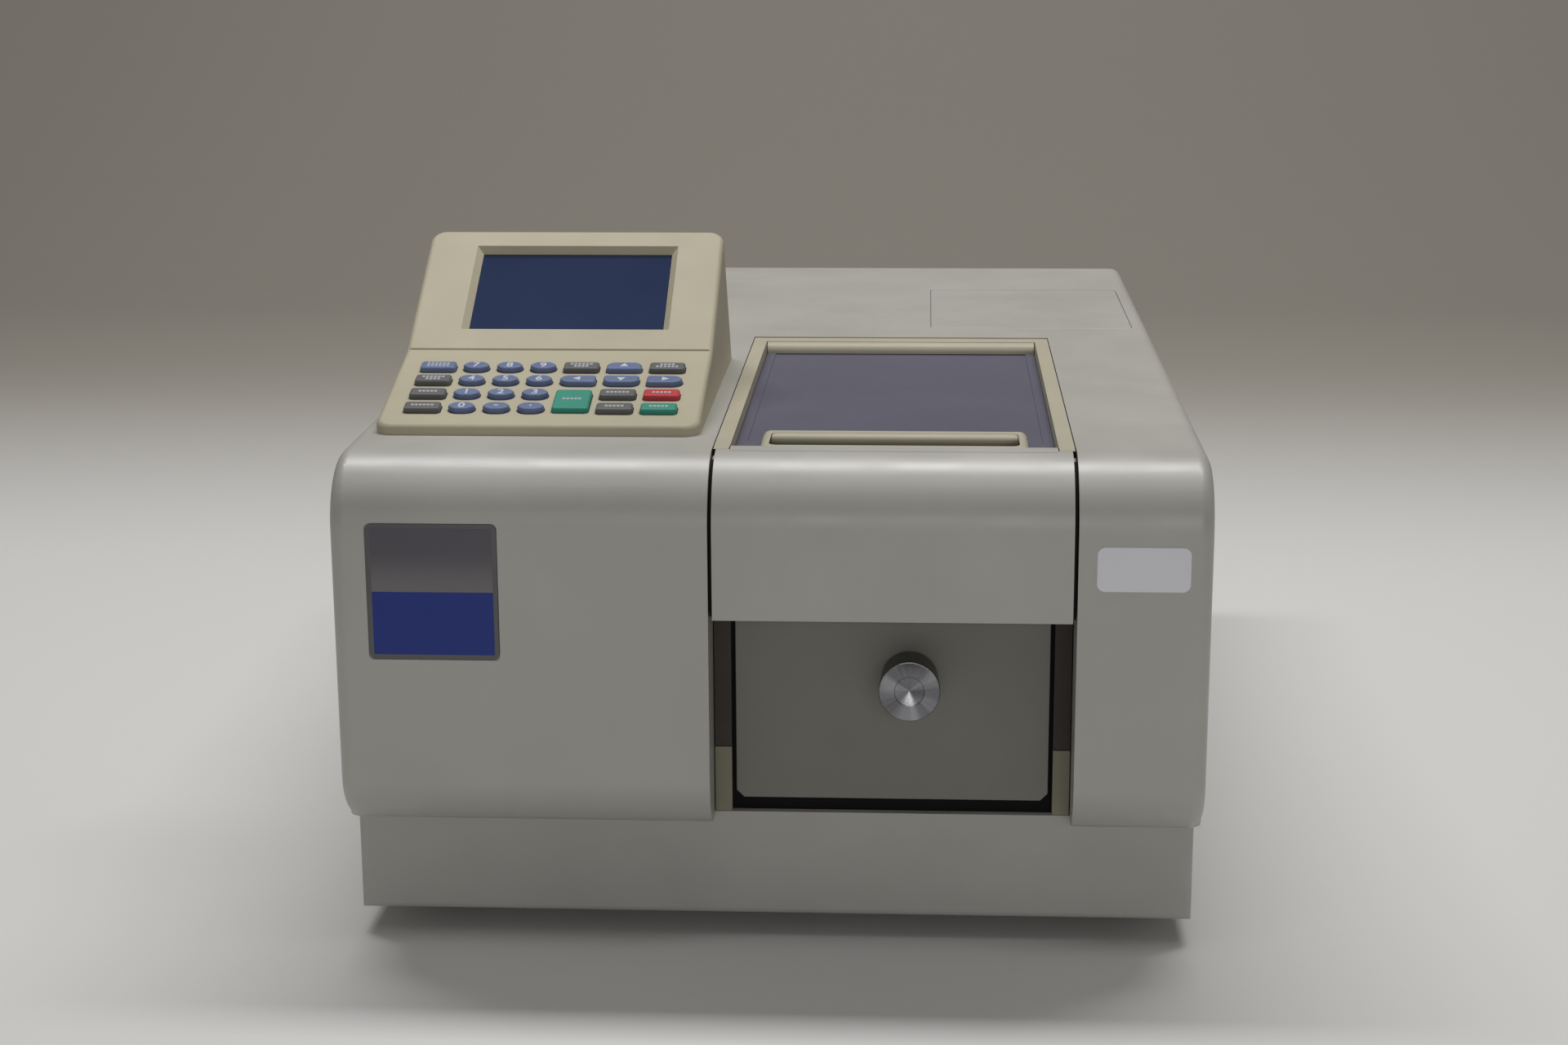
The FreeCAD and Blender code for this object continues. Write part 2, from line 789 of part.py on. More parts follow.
# Rear panel: a sheet plate with the fan's vents and the cut-outs for the inlet and the ports
def rear_panel():
    body = new_body("rear_panel")
    face = -tray_back - s.rear_plate
    sketch = new_sketch(body, "XZ_Plane", face)
    reach = side - s.hood_wall - s.seat_gap
    rectangle(sketch, (-reach, reach), (tray_floor, top - s.hood_wall - s.seat_gap))
    pad(body, sketch, s.rear_plate)
    sketch = new_sketch(body, "XZ_Plane", face)
    for x, z, wide, tall in panel_holes():
        rectangle(sketch, (x - wide / 2, x + wide / 2), (z - tall / 2, z + tall / 2))
    pocket(body, sketch, s.rear_plate * 2, reverse=True)
    sketch = new_sketch(body, "XZ_Plane", face, (fan_x, s.fan_height))
    half = s.vent_width / 2
    rectangle(sketch, (s.vent_inner, s.vent_outer), (-half, half))
    slot = pocket(body, sketch, s.rear_plate * 2, reverse=True)
    ring = body.newObject("PartDesign::PolarPattern", "vent_ring")
    ring.Originals = [slot]
    ring.Axis = (sketch, ["N_Axis"])
    ring.Angle = 360
    bind(ring, "Occurrences", s.vent_count)
    body.Tip = ring
    return body


def panel_holes():
    gap = 2 * s.seat_gap
    yield inlet_x, s.inlet_height, s.inlet_body_width + gap, s.inlet_body_height + gap
    for index in range(2):
        x = port_x + s.port_spacing * index
        yield x, s.port_height, s.port_width + gap, s.port_flange_height - s.port_step + gap


# Sample well: the dark inner box that the lid's skirt closes over
def sample_well():
    wall = s.well_wall
    outer = block("well_outer", (well_left, well_right), (well_front, well_back), (seam, well_rim))
    inner = block("well_inner", (well_left + wall, well_right - wall),
                  (well_front + wall, well_back - wall), (well_floor_top, well_rim + 1))
    frame = s.well_frame + wall
    mouth = block("well_mouth", (well_left + frame, well_right - frame),
                  (well_front - 1, well_front + wall + 1), (well_floor_top + s.well_frame, well_rim + 1))
    port = cylinder("well_port", "x", (well_left - 1, beam_y, beam_z), s.beam_port_radius,
                    well_right - well_left + 2)
    return keep(cut("sample_well", outer, [inner, mouth, port]), "sample_well")


def sill_blocks():
    height = (seam, seam + s.sill_block_height)
    depth = (tray_front + s.seat_gap, well_front)
    wide = s.sill_block_width
    gap = s.lid_side_gap
    left = block("sill_block_left", (bay_left + gap, bay_left + gap + wide), depth, height)
    right = block("sill_block_right", (bay_right - gap - wide, bay_right - gap), depth, height)
    return keep(group("sill_blocks", [left, right]), "sill_blocks")


def light_seals():
    height = (seam + s.sill_block_height, skirt_bottom - s.seal_top_gap)
    depth = (tray_front + s.seal_setback, well_front)
    wide = s.sill_block_width
    gap = s.lid_side_gap
    left = block("seal_left", (bay_left + gap, bay_left + gap + wide), depth, height)
    right = block("seal_right", (bay_right - gap - wide, bay_right - gap), depth, height)
    return keep(group("light_seals", [left, right]), "light_seals")


# Front plate: lifts out of the bay, its lower corners cut off, bored for the changer's rod
def front_plate():
    body = new_body("front_plate")
    sketch = new_sketch(body, "XZ_Plane", -well_front)
    low = seam + s.plate_bottom_gap
    high = low + s.plate_height
    nip = s.plate_chamfer
    trace(sketch, [(plate_left + nip, low), (plate_right - nip, low), (plate_right, low + nip),
                   (plate_right, high), (plate_left, high), (plate_left, low + nip)])
    disc(sketch, (rod_x, rod_z), s.rod_radius + s.rod_hole_gap)
    pad(body, sketch, s.plate_thickness)
    return body


# Cell changer: knob and rod pull the carriage along two guide rods
def pull_knob():
    body = new_body("pull_knob")
    sketch = new_sketch(body, "YZ_Plane", rod_x)
    nip = s.knob_chamfer
    neck = knob_front + s.knob_rim
    bore_end = knob_back - s.knob_bore_depth
    trace(sketch, [
        (knob_front + s.knob_dish_depth, rod_z),
        (knob_front, rod_z + s.knob_dish_radius),
        (knob_front, rod_z + s.knob_radius - nip),
        (knob_front + nip, rod_z + s.knob_radius),
        (neck, rod_z + s.knob_radius),
        (neck + nip, rod_z + s.knob_waist),
        (knob_back, rod_z + s.knob_waist),
        (knob_back, rod_z + s.rod_radius),
        (bore_end, rod_z + s.rod_radius),
        (bore_end, rod_z),
    ])
    revolve(body, sketch, rod_z)
    return body


def pull_rod():
    start = knob_back - s.knob_bore_depth
    rod = cylinder("pull_rod", "y", (rod_x, start, rod_z), s.rod_radius, carriage_front - start)
    return keep(rod, "pull_rod")


def cell_carriage():
    half = s.carriage_width / 2
    tower = s.cell_width / 2 + s.cell_wall
    y = (carriage_front, carriage_back)
    tower_top = carriage_bottom + s.carriage_base + s.cell_depth
    foot = block("carriage_foot", (rod_x - half, rod_x + half), y,
                 (carriage_bottom, carriage_bottom + s.carriage_base))
    body = block("carriage_tower", (rod_x - tower, rod_x + tower), y,
                 (carriage_bottom + s.carriage_base, tower_top))
    tools = []
    reach = s.cell_width / 2
    for index in range(int(float(s.cell_count))):
        centre = carriage_front + s.cell_end_wall + s.cell_pitch / 2 + s.cell_pitch * index
        tools.append(block("cell_socket", (rod_x - reach, rod_x + reach), (centre - reach, centre + reach),
                           (carriage_bottom + s.carriage_base, tower_top + 1)))
        tools.append(cylinder("cell_window", "x", (rod_x - tower - 1, centre, beam_z), s.beam_radius,
                              2 * tower + 2))
    guide_z = carriage_bottom + s.carriage_base / 2
    for x in (rod_x - s.guide_spacing / 2, rod_x + s.guide_spacing / 2):
        tools.append(cylinder("guide_bore", "y", (x, carriage_front - 1, guide_z),
                              s.guide_radius + s.running_gap, carriage_length + 2))
    return keep(cut("cell_carriage", fuse("carriage_block", [foot, body]), tools), "cell_carriage")


def carriage_guide():
    parts = []
    near = well_front + s.well_wall
    far = carriage_back + s.carriage_gap
    z = carriage_bottom + s.carriage_base / 2
    for x in (rod_x - s.guide_spacing / 2, rod_x + s.guide_spacing / 2):
        parts.append(cylinder("guide_rod", "y", (x, near, z), s.guide_radius, far - near + s.guide_foot))
    span = s.guide_spacing / 2 + s.guide_foot
    for y in (near, far):
        parts.append(block("guide_bracket", (rod_x - span, rod_x + span), (y, y + s.guide_foot),
                           (well_floor_top, z + s.guide_foot)))
    return keep(fuse("carriage_guide", parts), "carriage_guide")


# Lid: a frame that closes over the well, with the hood's brow carried on across its front
rail_left = derived("rail_left_inside", lid_left + s.rail_width)
rail_right = derived("rail_right_inside", lid_right - s.rail_width)
pan_top = derived("pan_level", top - s.panel_recess - s.panel_plate)
pan_bottom = derived("pan_underside", pan_top - s.pan_plate)
hinge_y = derived("hinge_line", lid_back - s.hinge_bar_height / 2)
hinge_z = derived("hinge_level", top - s.hinge_bar_height / 2)
bar_front = derived("hinge_bar_front", lid_back - s.hinge_bar)
cover_bottom = derived("cover_lower_edge", top - s.cover_height)
tongue_back = derived("tongue_back_edge", brow_y + s.cover_tongue)
handle_left = derived("handle_left_side", rail_left + s.handle_side_gap)
handle_right = derived("handle_right_side", rail_right - s.handle_side_gap)
handle_back = derived("handle_back_side", tongue_back + s.handle_depth)
doc.recompute()


def lid_frame():
    body = new_body("lid_frame")
    wall = s.cover_wall
    skin = wall + s.lid_skirt
    bar_bottom = top - s.hinge_bar_height
    nose_bottom = cover_bottom + s.cover_lip
    nose_back = tray_front - s.nose_gap
    sketch = new_sketch(body, "YZ_Plane", lid_left)
    trace(sketch, [
        (lid_back, hinge_z),
        ((hinge_y, top), (hinge_y, hinge_z), s.hinge_bar_height / 2),
        (brow_y, top),
        (brow_y, top - wall),
        ((front + wall, brow_z), (brow_y, brow_z), s.brow_radius - wall),
        (front + wall, nose_bottom),
        (nose_back, nose_bottom),
        (nose_back, skirt_bottom),
        (well_back, skirt_bottom),
        (well_back, bar_bottom),
        (lid_back, bar_bottom),
    ])
    pad(body, sketch, lid_right - lid_left)
    sketch = new_sketch(body, "XY_Plane", pan_top)
    rectangle(sketch, (rail_left, rail_right), (brow_y, bar_front))
    pocket(body, sketch, top - pan_top, reverse=True)
    sketch = new_sketch(body, "YZ_Plane", lid_left + s.lid_skirt)
    below = nose_bottom - 1
    trace(sketch, [
        (front + skin, below),
        (well_back + 1, below),
        (well_back + 1, pan_bottom),
        (front + skin + s.brow_hollow, pan_bottom),
        (front + skin, brow_z),
    ])
    pocket(body, sketch, lid_right - lid_left - 2 * s.lid_skirt, reverse=True)
    sketch = new_sketch(body, "XY_Plane", top + 1)
    gap = s.seat_gap
    rectangle(sketch, (handle_left - gap, handle_right + gap), (tongue_back - gap, handle_back + gap))
    pocket(body, sketch, s.handle_height + 2)
    bore = s.hinge_pin_depth + 2
    for x, inward in ((lid_left - 1, True), (lid_right + 1, False)):
        sketch = new_sketch(body, "YZ_Plane", x)
        disc(sketch, (hinge_y, hinge_z), s.hinge_pin_radius + s.running_gap)
        pocket(body, sketch, bore, reverse=inward)
    return body


# The cover carries the brow across the lid, with a tongue that lies between the rails
def lid_front_cover():
    body = new_body("lid_front_cover")
    left = bay_left + s.cover_side_gap
    right = bay_right - s.cover_side_gap
    wall = s.cover_wall
    sketch = new_sketch(body, "YZ_Plane", left)
    trace(sketch, [
        (brow_y, top),
        ((front, brow_z), (brow_y, brow_z), s.brow_radius),
        (front, cover_bottom),
        (front + wall, cover_bottom),
        (front + wall, brow_z),
        ((brow_y, top - wall), (brow_y, brow_z), s.brow_radius - wall),
    ])
    pad(body, sketch, right - left)
    sketch = new_sketch(body, "XY_Plane", top)
    gap = s.seat_gap
    rectangle(sketch, (rail_left + gap, rail_right - gap), (brow_y - wall, tongue_back))
    pad(body, sketch, wall, reverse=True)
    return body


def lid_panel():
    body = new_body("lid_panel")
    gap = s.seat_gap
    left = rail_left + gap
    right = rail_right - gap
    near = tongue_back + gap
    far = bar_front - gap
    notch = handle_back + gap
    sketch = new_sketch(body, "XY_Plane", pan_top)
    trace(sketch, [
        (left, near),
        (handle_left - gap, near),
        (handle_left - gap, notch),
        (handle_right + gap, notch),
        (handle_right + gap, near),
        (right, near),
        (right, far),
        (left, far),
    ])
    pad(body, sketch, s.panel_plate)
    sketch = new_sketch(body, "XY_Plane", pan_top + s.panel_plate)
    border = s.panel_border
    rectangle(sketch, (left + border, right - border), (handle_back + border, far - border))
    pocket(body, sketch, s.panel_step)
    return body


def lid_handle():
    body = new_body("lid_handle")
    sketch = new_sketch(body, "XZ_Plane", -handle_back)
    rounded_rectangle(sketch, (handle_left, handle_right), (top - s.handle_height, top), s.handle_corner)
    pad(body, sketch, s.handle_depth)
    wall = s.handle_wall
    sketch = new_sketch(body, "XY_Plane", top + 1)
    rounded_rectangle(sketch, (handle_left + wall, handle_right - wall),
                      (tongue_back + s.handle_front_wall, handle_back - wall), s.handle_corner)
    pocket(body, sketch, s.handle_height + 1 - s.handle_floor)
    return body


def hinge_pins():
    length = s.bay_flange + s.lid_side_gap + s.hinge_pin_depth
    starts = (bay_left - s.bay_flange, bay_right + s.bay_flange - length)
    pins = [cylinder("hinge_pin", "x", (x, hinge_y, hinge_z), s.hinge_pin_radius, length) for x in starts]
    return keep(group("hinge_pins", pins), "hinge_pins")


# Console: a wedge of two slopes, the keypad in front and the display behind
keypad_slope = s.keypad_rise / s.keypad_run
display_slope = s.display_rise / s.display_run
display_length = derived("display_face_length", root(s.display_run * s.display_run
                                                     + s.display_rise * s.display_rise))
keypad_tilt = math.degrees(math.atan(float(keypad_slope)))
display_tilt = math.degrees(math.atan(float(display_slope)))


# A straight line in the console's side view, dropped square to itself by a wall
def inner_line(point, slope, wall):
    return point[0], point[1] - wall * root(1 + slope * slope), slope


def level_at(line, y):
    return line[1] + line[2] * (y - line[0])


def meeting(first, second):
    rise = second[1] - first[1] + first[2] * first[0] - second[2] * second[0]
    return rise / (first[2] - second[2])


# Tilted faces: x across, y up the slope and z out of the face, from its lower edge's middle
def tilted(thing, start, tilt):
    thing.Placement = Placement(Vector(0, 0, 0), Rotation(Vector(1, 0, 0), tilt))
    bind(thing, "Placement.Base.x", console_centre)
    bind(thing, "Placement.Base.y", start[0])
    bind(thing, "Placement.Base.z", start[1])
    return thing


keypad_start = (console_front, console_brink)
display_start = (fold_y, fold_z)


def console_housing():
    body = new_body("console_block", kept=False)
    sketch = new_sketch(body, "YZ_Plane", console_left)
    trace(sketch, [(console_front, top), (console_front, console_brink), (fold_y, fold_z),
                   (ridge_y, ridge_z), (console_back, top)])
    wedge = pad(body, sketch, s.console_width)
    base = float(top)
    fold = float(fold_y)
    near, far = float(console_front), float(ridge_y)

    def corner(edge, points):
        along = abs(points[0].x - points[-1].x) > 1
        in_front = all(abs(p.y - near) < 0.01 for p in points)
        behind = all(p.y > far - 0.01 for p in points)
        return not along and (in_front or behind)

    corners = soften(body, wedge, corner, s.console_corner_radius)

    def rim(edge, points):
        on_base = all(p.z < base + 0.01 for p in points)
        upright = max(p.z for p in points) - min(p.z for p in points) > 1 and (
            all(p.y < near + float(s.console_corner_radius) + 0.01 for p in points))
        at_fold = all(abs(p.y - fold) < 0.01 for p in points)
        behind = min(p.z for p in points) < base + 0.01
        return not on_base and not at_fold and not behind and not upright

    soften(body, corners, rim, s.console_edge_radius)
    wall = s.console_wall
    keypad = inner_line(keypad_start, keypad_slope, wall)
    display = inner_line(display_start, display_slope, s.display_wall)
    rear = inner_line((ridge_y, ridge_z), (top - ridge_z) / (console_back - ridge_y), wall)
    fold_inside = derived("fold_inside", meeting(keypad, display))
    ridge_inside = derived("ridge_inside", meeting(display, rear))
    foot_inside = derived("foot_inside", meeting((ZERO, top - 1, ZERO), rear))
    doc.recompute()
    sketch = new_sketch(body, "YZ_Plane", console_left + wall)
    near = console_front + wall
    trace(sketch, [(near, top - 1), (near, level_at(keypad, near)),
                   (fold_inside, level_at(keypad, fold_inside)),
                   (ridge_inside, level_at(display, ridge_inside)), (foot_inside, top - 1)])
    pocket(body, sketch, s.console_width - 2 * wall, reverse=True)
    sketch = new_sketch(body, "YZ_Plane", console_left - 1)
    disc(sketch, (fold_y, fold_z + s.console_groove / 2), s.console_groove)
    pocket(body, sketch, s.console_width + 2, reverse=True)
    tools = [key_tool(key) for key in keys()]
    across, up = glass_span()
    gap = s.glass_gap
    hole = new_body("glass_hole", kept=False)
    sketch = new_sketch(hole, "XY_Plane", -2 * s.display_wall)
    rectangle(sketch, (across[0] - gap, across[1] + gap), (up[0] - gap, up[1] + gap))
    pad(hole, sketch, 3 * s.display_wall)
    tools.append(tilted(hole, display_start, display_tilt))
    tools.append(tilted(bezel_tool(across, up), display_start, display_tilt))
    shell = cut("console_shell", body, tools)
    posts = [shell]
    spread = key_board_half - s.key_post_inset
    rows = key_rows()
    for u in (-spread, spread):
        for v in ((rows[3] + rows[2]) / 2, (rows[1] + rows[0]) / 2):
            post = new_body("board_post", kept=False)
            sketch = new_sketch(post, "XY_Plane", -key_board_depth)
            disc(sketch, (u, v), s.key_post_radius)
            pad(post, sketch, key_board_depth - wall + 1)
            posts.append(tilted(post, keypad_start, keypad_tilt))
    return keep(fuse("console_housing", posts), "console_housing")


def glass_span():
    left = s.glass_offset - s.glass_width / 2
    low = display_length / 2 + s.glass_lift - s.glass_height / 2
    return (left, left + s.glass_width), (low, low + s.glass_height)


def bezel_tool(across, up):
    body = new_body("bezel", kept=False)
    slope = s.bezel_slope * (s.glass_depth + 1) / s.glass_depth
    for height, reach in ((-s.glass_depth, s.glass_gap), (as_size(1), slope)):
        sketch = new_sketch(body, "XY_Plane", height)
        rectangle(sketch, (across[0] - reach, across[1] + reach), (up[0] - reach, up[1] + reach))
    loft = body.newObject("PartDesign::AdditiveLoft", "bezel_loft")
    profiles = [thing for thing in body.Group if thing.TypeId == "Sketcher::SketchObject"]
    loft.Profile = profiles[0]
    loft.Sections = profiles[1:]
    loft.Ruled = True
    return body


def display_window():
    body = new_body("display_window")
    sketch = new_sketch(body, "XY_Plane", -s.glass_depth - s.glass_plate)
    rectangle(sketch, *glass_span())
    pad(body, sketch, s.glass_plate)
    return tilted(body, display_start, display_tilt)


def display_module():
    body = new_body("display_module")
    across, up = glass_span()
    border = s.module_border
    sketch = new_sketch(body, "XY_Plane", -s.display_wall - s.module_depth)
    rectangle(sketch, (across[0] - border, across[1] + border), (up[0] - border, up[1] + border))
    pad(body, sketch, s.module_depth)
    return tilted(body, display_start, display_tilt)


# Keys: a cap with rounded corners and a skirt that the console's wall keeps in
def key_rows():
    return [s.key_first_row - s.key_row_pitch * row for row in range(4)]


# Columns stand with even gaps between them, and the room left over goes to the two sides
def key_columns():
    bar, oval = s.key_bar_width, s.key_oval_width
    widths = [bar, oval, oval, oval, bar, bar, bar]
    room = s.console_width - 4 * bar - 3 * oval
    margin = room * s.key_side_share
    gap = (room - 2 * margin) / (len(widths) - 1)
    columns = []
    edge = margin - s.console_width / 2
    for wide in widths:
        columns.append(edge + wide / 2)
        edge = edge + wide + gap
    return columns


def keys():
    small = s.key_corner
    large = s.key_round
    bar = (s.key_bar_width, s.key_bar_depth, [small] * 4)
    oval = (s.key_oval_width, s.key_bar_depth, [large] * 4)
    up = (s.key_bar_width, s.key_bar_depth, [small, small, large, large])
    down = (s.key_bar_width, s.key_bar_depth, [large, large, small, small])
    before = (s.key_bar_width, s.key_bar_depth, [large, small, small, large])
    after = (s.key_bar_width, s.key_bar_depth, [small, large, large, small])
    rows = key_rows()
    names = [
        ("mode", ("7", "8", "9"), [("goto_wavelength", 4, bar), ("up", 5, up), ("set_reference", 6, bar)]),
        ("store", ("4", "5", "6"), [("left", 4, before), ("down", 5, down), ("right", 6, after)]),
        ("print", ("1", "2", "3"), [("menu", 5, bar), ("cancel", 6, bar)]),
        ("shift", ("0", "minus", "point"), [("clear", 5, bar), ("run", 6, bar)]),
    ]
    columns = key_columns()
    for row, (function, digits, others) in enumerate(names):
        yield "key_" + function, columns[0], rows[row], bar
        for place, digit in enumerate(digits, start=1):
            yield "key_" + digit, columns[place], rows[row], oval
        for name, place, shape in others:
            yield "key_" + name, columns[place], rows[row], shape
    tall = (s.key_bar_width, s.key_enter_depth, [small] * 4)
    yield "key_enter", columns[4], (rows[2] + rows[3]) / 2, tall


def key_span(key, growth):
    name, x, y, (wide, deep, radii) = key
    across = (x - wide / 2 - growth, x + wide / 2 + growth)
    up = (y - deep / 2 - growth, y + deep / 2 + growth)
    return across, up, [radius + growth for radius in radii]


def key_tool(key):
    body = new_body("key_hole", kept=False)
    sketch = new_sketch(body, "XY_Plane", -s.console_wall - 1)
    four_corners(sketch, *key_span(key, s.key_gap))
    pad(body, sketch, s.console_wall + 2)
    return tilted(body, keypad_start, keypad_tilt)


def key_cap(key):
    body = new_body(key[0])
    sketch = new_sketch(body, "XY_Plane", -s.key_below)
    four_corners(sketch, *key_span(key, ZERO))
    cap = pad(body, sketch, s.key_below + s.key_height)
    crown = float(s.key_height)
    soften(body, cap, lambda edge, points: all(abs(p.z - crown) < 0.01 for p in points),
           s.key_chamfer, "Chamfer")
    skirt_top = s.console_wall + s.seat_gap
    sketch = new_sketch(body, "XY_Plane", -s.key_below)
    four_corners(sketch, *key_span(key, s.key_skirt))
    pad(body, sketch, s.key_below - skirt_top)
    return tilted(body, keypad_start, keypad_tilt)


# A pressed key stops just short of the board under it
key_board_depth = derived("key_board_top", s.key_below + s.key_travel + s.key_gap)
key_board_half = derived("key_board_reach", s.console_width / 2 - s.console_wall - s.key_board_side_gap)


def keypad_board():
    body = new_body("keypad_board")
    sketch = new_sketch(body, "XY_Plane", -key_board_depth - s.key_board)
    rows = key_rows()
    rectangle(sketch, (-key_board_half, key_board_half),
              (rows[3] - s.key_board_edge, rows[0] + s.key_board_edge))
    pad(body, sketch, s.key_board)
    return tilted(body, keypad_start, keypad_tilt)


# Mains inlet module: flange, appliance socket with its three blades, and a rocker switch
inlet_socket_z = derived("inlet_socket_level", s.inlet_height - s.socket_drop)
rocker_z = derived("rocker_level", s.inlet_height + s.rocker_rise)
panel_back = derived("panel_outer_face", tray_back + s.rear_plate)
inlet_face = derived("inlet_outer_face", panel_back + s.inlet_flange)


def centred(x, wide):
    return x - wide / 2, x + wide / 2


def power_inlet():
    flange = block("inlet_flange", centred(inlet_x, s.inlet_flange_width), (panel_back, inlet_face),
                   centred(s.inlet_height, s.inlet_flange_height))
    inner = inlet_face - s.inlet_body_depth
    case = block("inlet_case", centred(inlet_x, s.inlet_body_width), (inner, panel_back),
                 centred(s.inlet_height, s.inlet_body_height))
    socket = block("inlet_socket", centred(inlet_x, s.socket_width),
                   (inlet_face - s.socket_depth, inlet_face + 1), centred(inlet_socket_z, s.socket_height))
    well = block("rocker_well", centred(inlet_x, s.rocker_opening),
                 (inlet_face - s.rocker_depth, inlet_face + 1), centred(rocker_z, s.rocker_width + 1))
    shell = cut("inlet_shell", fuse("inlet_solid", [flange, case]), [socket, well])
    blades = [shell]
    for step in (-1, 0, 1):
        x = inlet_x + s.blade_pitch * step
        z = inlet_socket_z + s.blade_rise * (1 - abs(step) * 2)
        start = inlet_face - s.socket_depth - 1
        blades.append(block("inlet_blade", centred(x, s.blade_width), (start, start + 1 + s.blade_length),
                            centred(z, s.blade_height)))
    pin = cylinder("rocker_pin", "z", (inlet_x, rocker_y, rocker_z - s.rocker_width / 2 - 1),
                   s.rocker_pin_radius, s.rocker_width + 2)
    blades.append(pin)
    return keep(fuse("power_inlet", blades), "power_inlet")


rocker_y = derived("rocker_axis", inlet_face - s.rocker_set)


# The rocker's outline seen from above: two faces that meet over the pin at twice the swing
def power_rocker():
    body = new_body("power_rocker")
    sketch = new_sketch(body, "XY_Plane", rocker_z - s.rocker_width / 2)
    half = s.rocker_opening / 2 - s.rocker_end_gap
    swing = s.rocker_swing / 2
    shoulder = s.rocker_crown - half * sine(swing)
    base = -s.rocker_pin_radius - 1
    trace(sketch, [
        (-half, shoulder),
        (-half + 1, base),
        (half - 1, base),
        (half, shoulder),
        (ZERO, s.rocker_crown),
    ])
    pad(body, sketch, s.rocker_width)
    sketch = new_sketch(body, "XY_Plane", rocker_z - s.rocker_width)
    disc(sketch, (ZERO, ZERO), s.rocker_pin_radius + s.running_gap)
    pocket(body, sketch, 2 * s.rocker_width, reverse=True)
    body.Placement = Placement(Vector(0, 0, 0), Rotation(Vector(0, 0, 1), -float(s.rocker_swing) / 2))
    bind(body, "Placement.Base.x", inlet_x)
    bind(body, "Placement.Base.y", rocker_y)
    return body


# Signal ports: two shrouded connectors through the rear panel
def signal_ports():
    ports = []
    for index in range(2):
        x = port_x + s.port_spacing * index
        z = s.port_height
        flange = block("port_flange", centred(x, s.port_flange_width), (panel_back, panel_back + 1),
                       centred(z, s.port_flange_height))
        shroud = block("port_shroud", centred(x, s.port_width),
                       (panel_back - s.port_depth, panel_back + s.port_reach),
                       centred(z, s.port_flange_height - s.port_step))
        slot = block("port_slot", centred(x, s.port_width - s.port_step),
                     (panel_back + s.port_reach - s.port_slot, panel_back + s.port_reach + 1),
                     centred(z, s.port_flange_height - 2 * s.port_step))
        ports.append(cut("port", fuse("port_solid", [flange, shroud]), [slot]))
    return keep(group("signal_ports", ports), "signal_ports")


# Fan: a square frame with its motor carrier, and a rotor of pitched blades on the spindle
fan_front = derived("fan_front_face", tray_back - s.fan_depth)
fan_bore = derived("fan_bore_radius", s.fan_size / 2 - s.fan_rim)


def fan_frame():
    half = s.fan_size / 2
    x = (fan_x - half, fan_x + half)
    z = (s.fan_height - half, s.fan_height + half)
    case = block("fan_case", x, (fan_front, tray_back), z)
    bore = cylinder("fan_bore", "y", (fan_x, fan_front - 1, s.fan_height), fan_bore, s.fan_depth + 2)
    corners = []
    reach = half - s.fan_fixing_inset
    for cx in (fan_x - reach, fan_x + reach):
        for cz in (s.fan_height - reach, s.fan_height + reach):
            corners.append(cylinder("fan_fixing", "y", (cx, fan_front - 1, cz), s.fan_fixing_radius,
                                    s.fan_depth + 2))
    ring = cut("fan_ring", case, [bore] + corners)
    carrier = cylinder("fan_carrier", "y", (fan_x, fan_front, s.fan_height), s.fan_hub, s.fan_carrier)
    spindle = cylinder("fan_spindle", "y", (fan_x, fan_front, s.fan_height), s.fan_spindle,
                       s.fan_depth - s.fan_carrier)
    arms = [block("fan_arm", x, (fan_front, fan_front + s.fan_carrier), centred(s.fan_height, s.fan_arm)),
            block("fan_arm", centred(fan_x, s.fan_arm), (fan_front, fan_front + s.fan_carrier), z)]
    return keep(fuse("fan_frame", [ring, carrier, spindle] + arms), "fan_frame")


def fan_rotor():
    start = fan_front + s.fan_carrier + s.fan_end_gap
    length = s.fan_depth - s.fan_carrier - 2 * s.fan_end_gap
    hub = cylinder("rotor_hub", "y", (fan_x, start, s.fan_height), s.fan_hub, length)
    tip = fan_bore - s.fan_tip_gap
    blades = [hub]
    count = int(float(s.fan_blades))
    for index in range(count):
        blade = doc.addObject("Part::Box", "rotor_blade")
        bind(blade, "Length", s.fan_blade)
        bind(blade, "Width", s.fan_chord)
        bind(blade, "Height", tip - s.fan_hub + 1)
        pitch = Rotation(Vector(0, 0, 1), float(s.fan_pitch))
        turn = Rotation(Vector(0, 1, 0), 360.0 * index / count).multiply(pitch)
        middle = Vector(float(s.fan_blade) / 2, float(s.fan_chord) / 2, 1 - float(s.fan_hub))
        centre = Vector(float(fan_x), float(start + length / 2), float(s.fan_height))
        blade.Placement = Placement(centre - turn.multVec(middle), turn)
        blades.append(blade)
    bore = cylinder("rotor_bore", "y", (fan_x, start - 1, s.fan_height),
                    s.fan_spindle + s.running_gap, length + 2)
    return keep(cut("fan_rotor", fuse("rotor_solid", blades), [bore]), "fan_rotor")


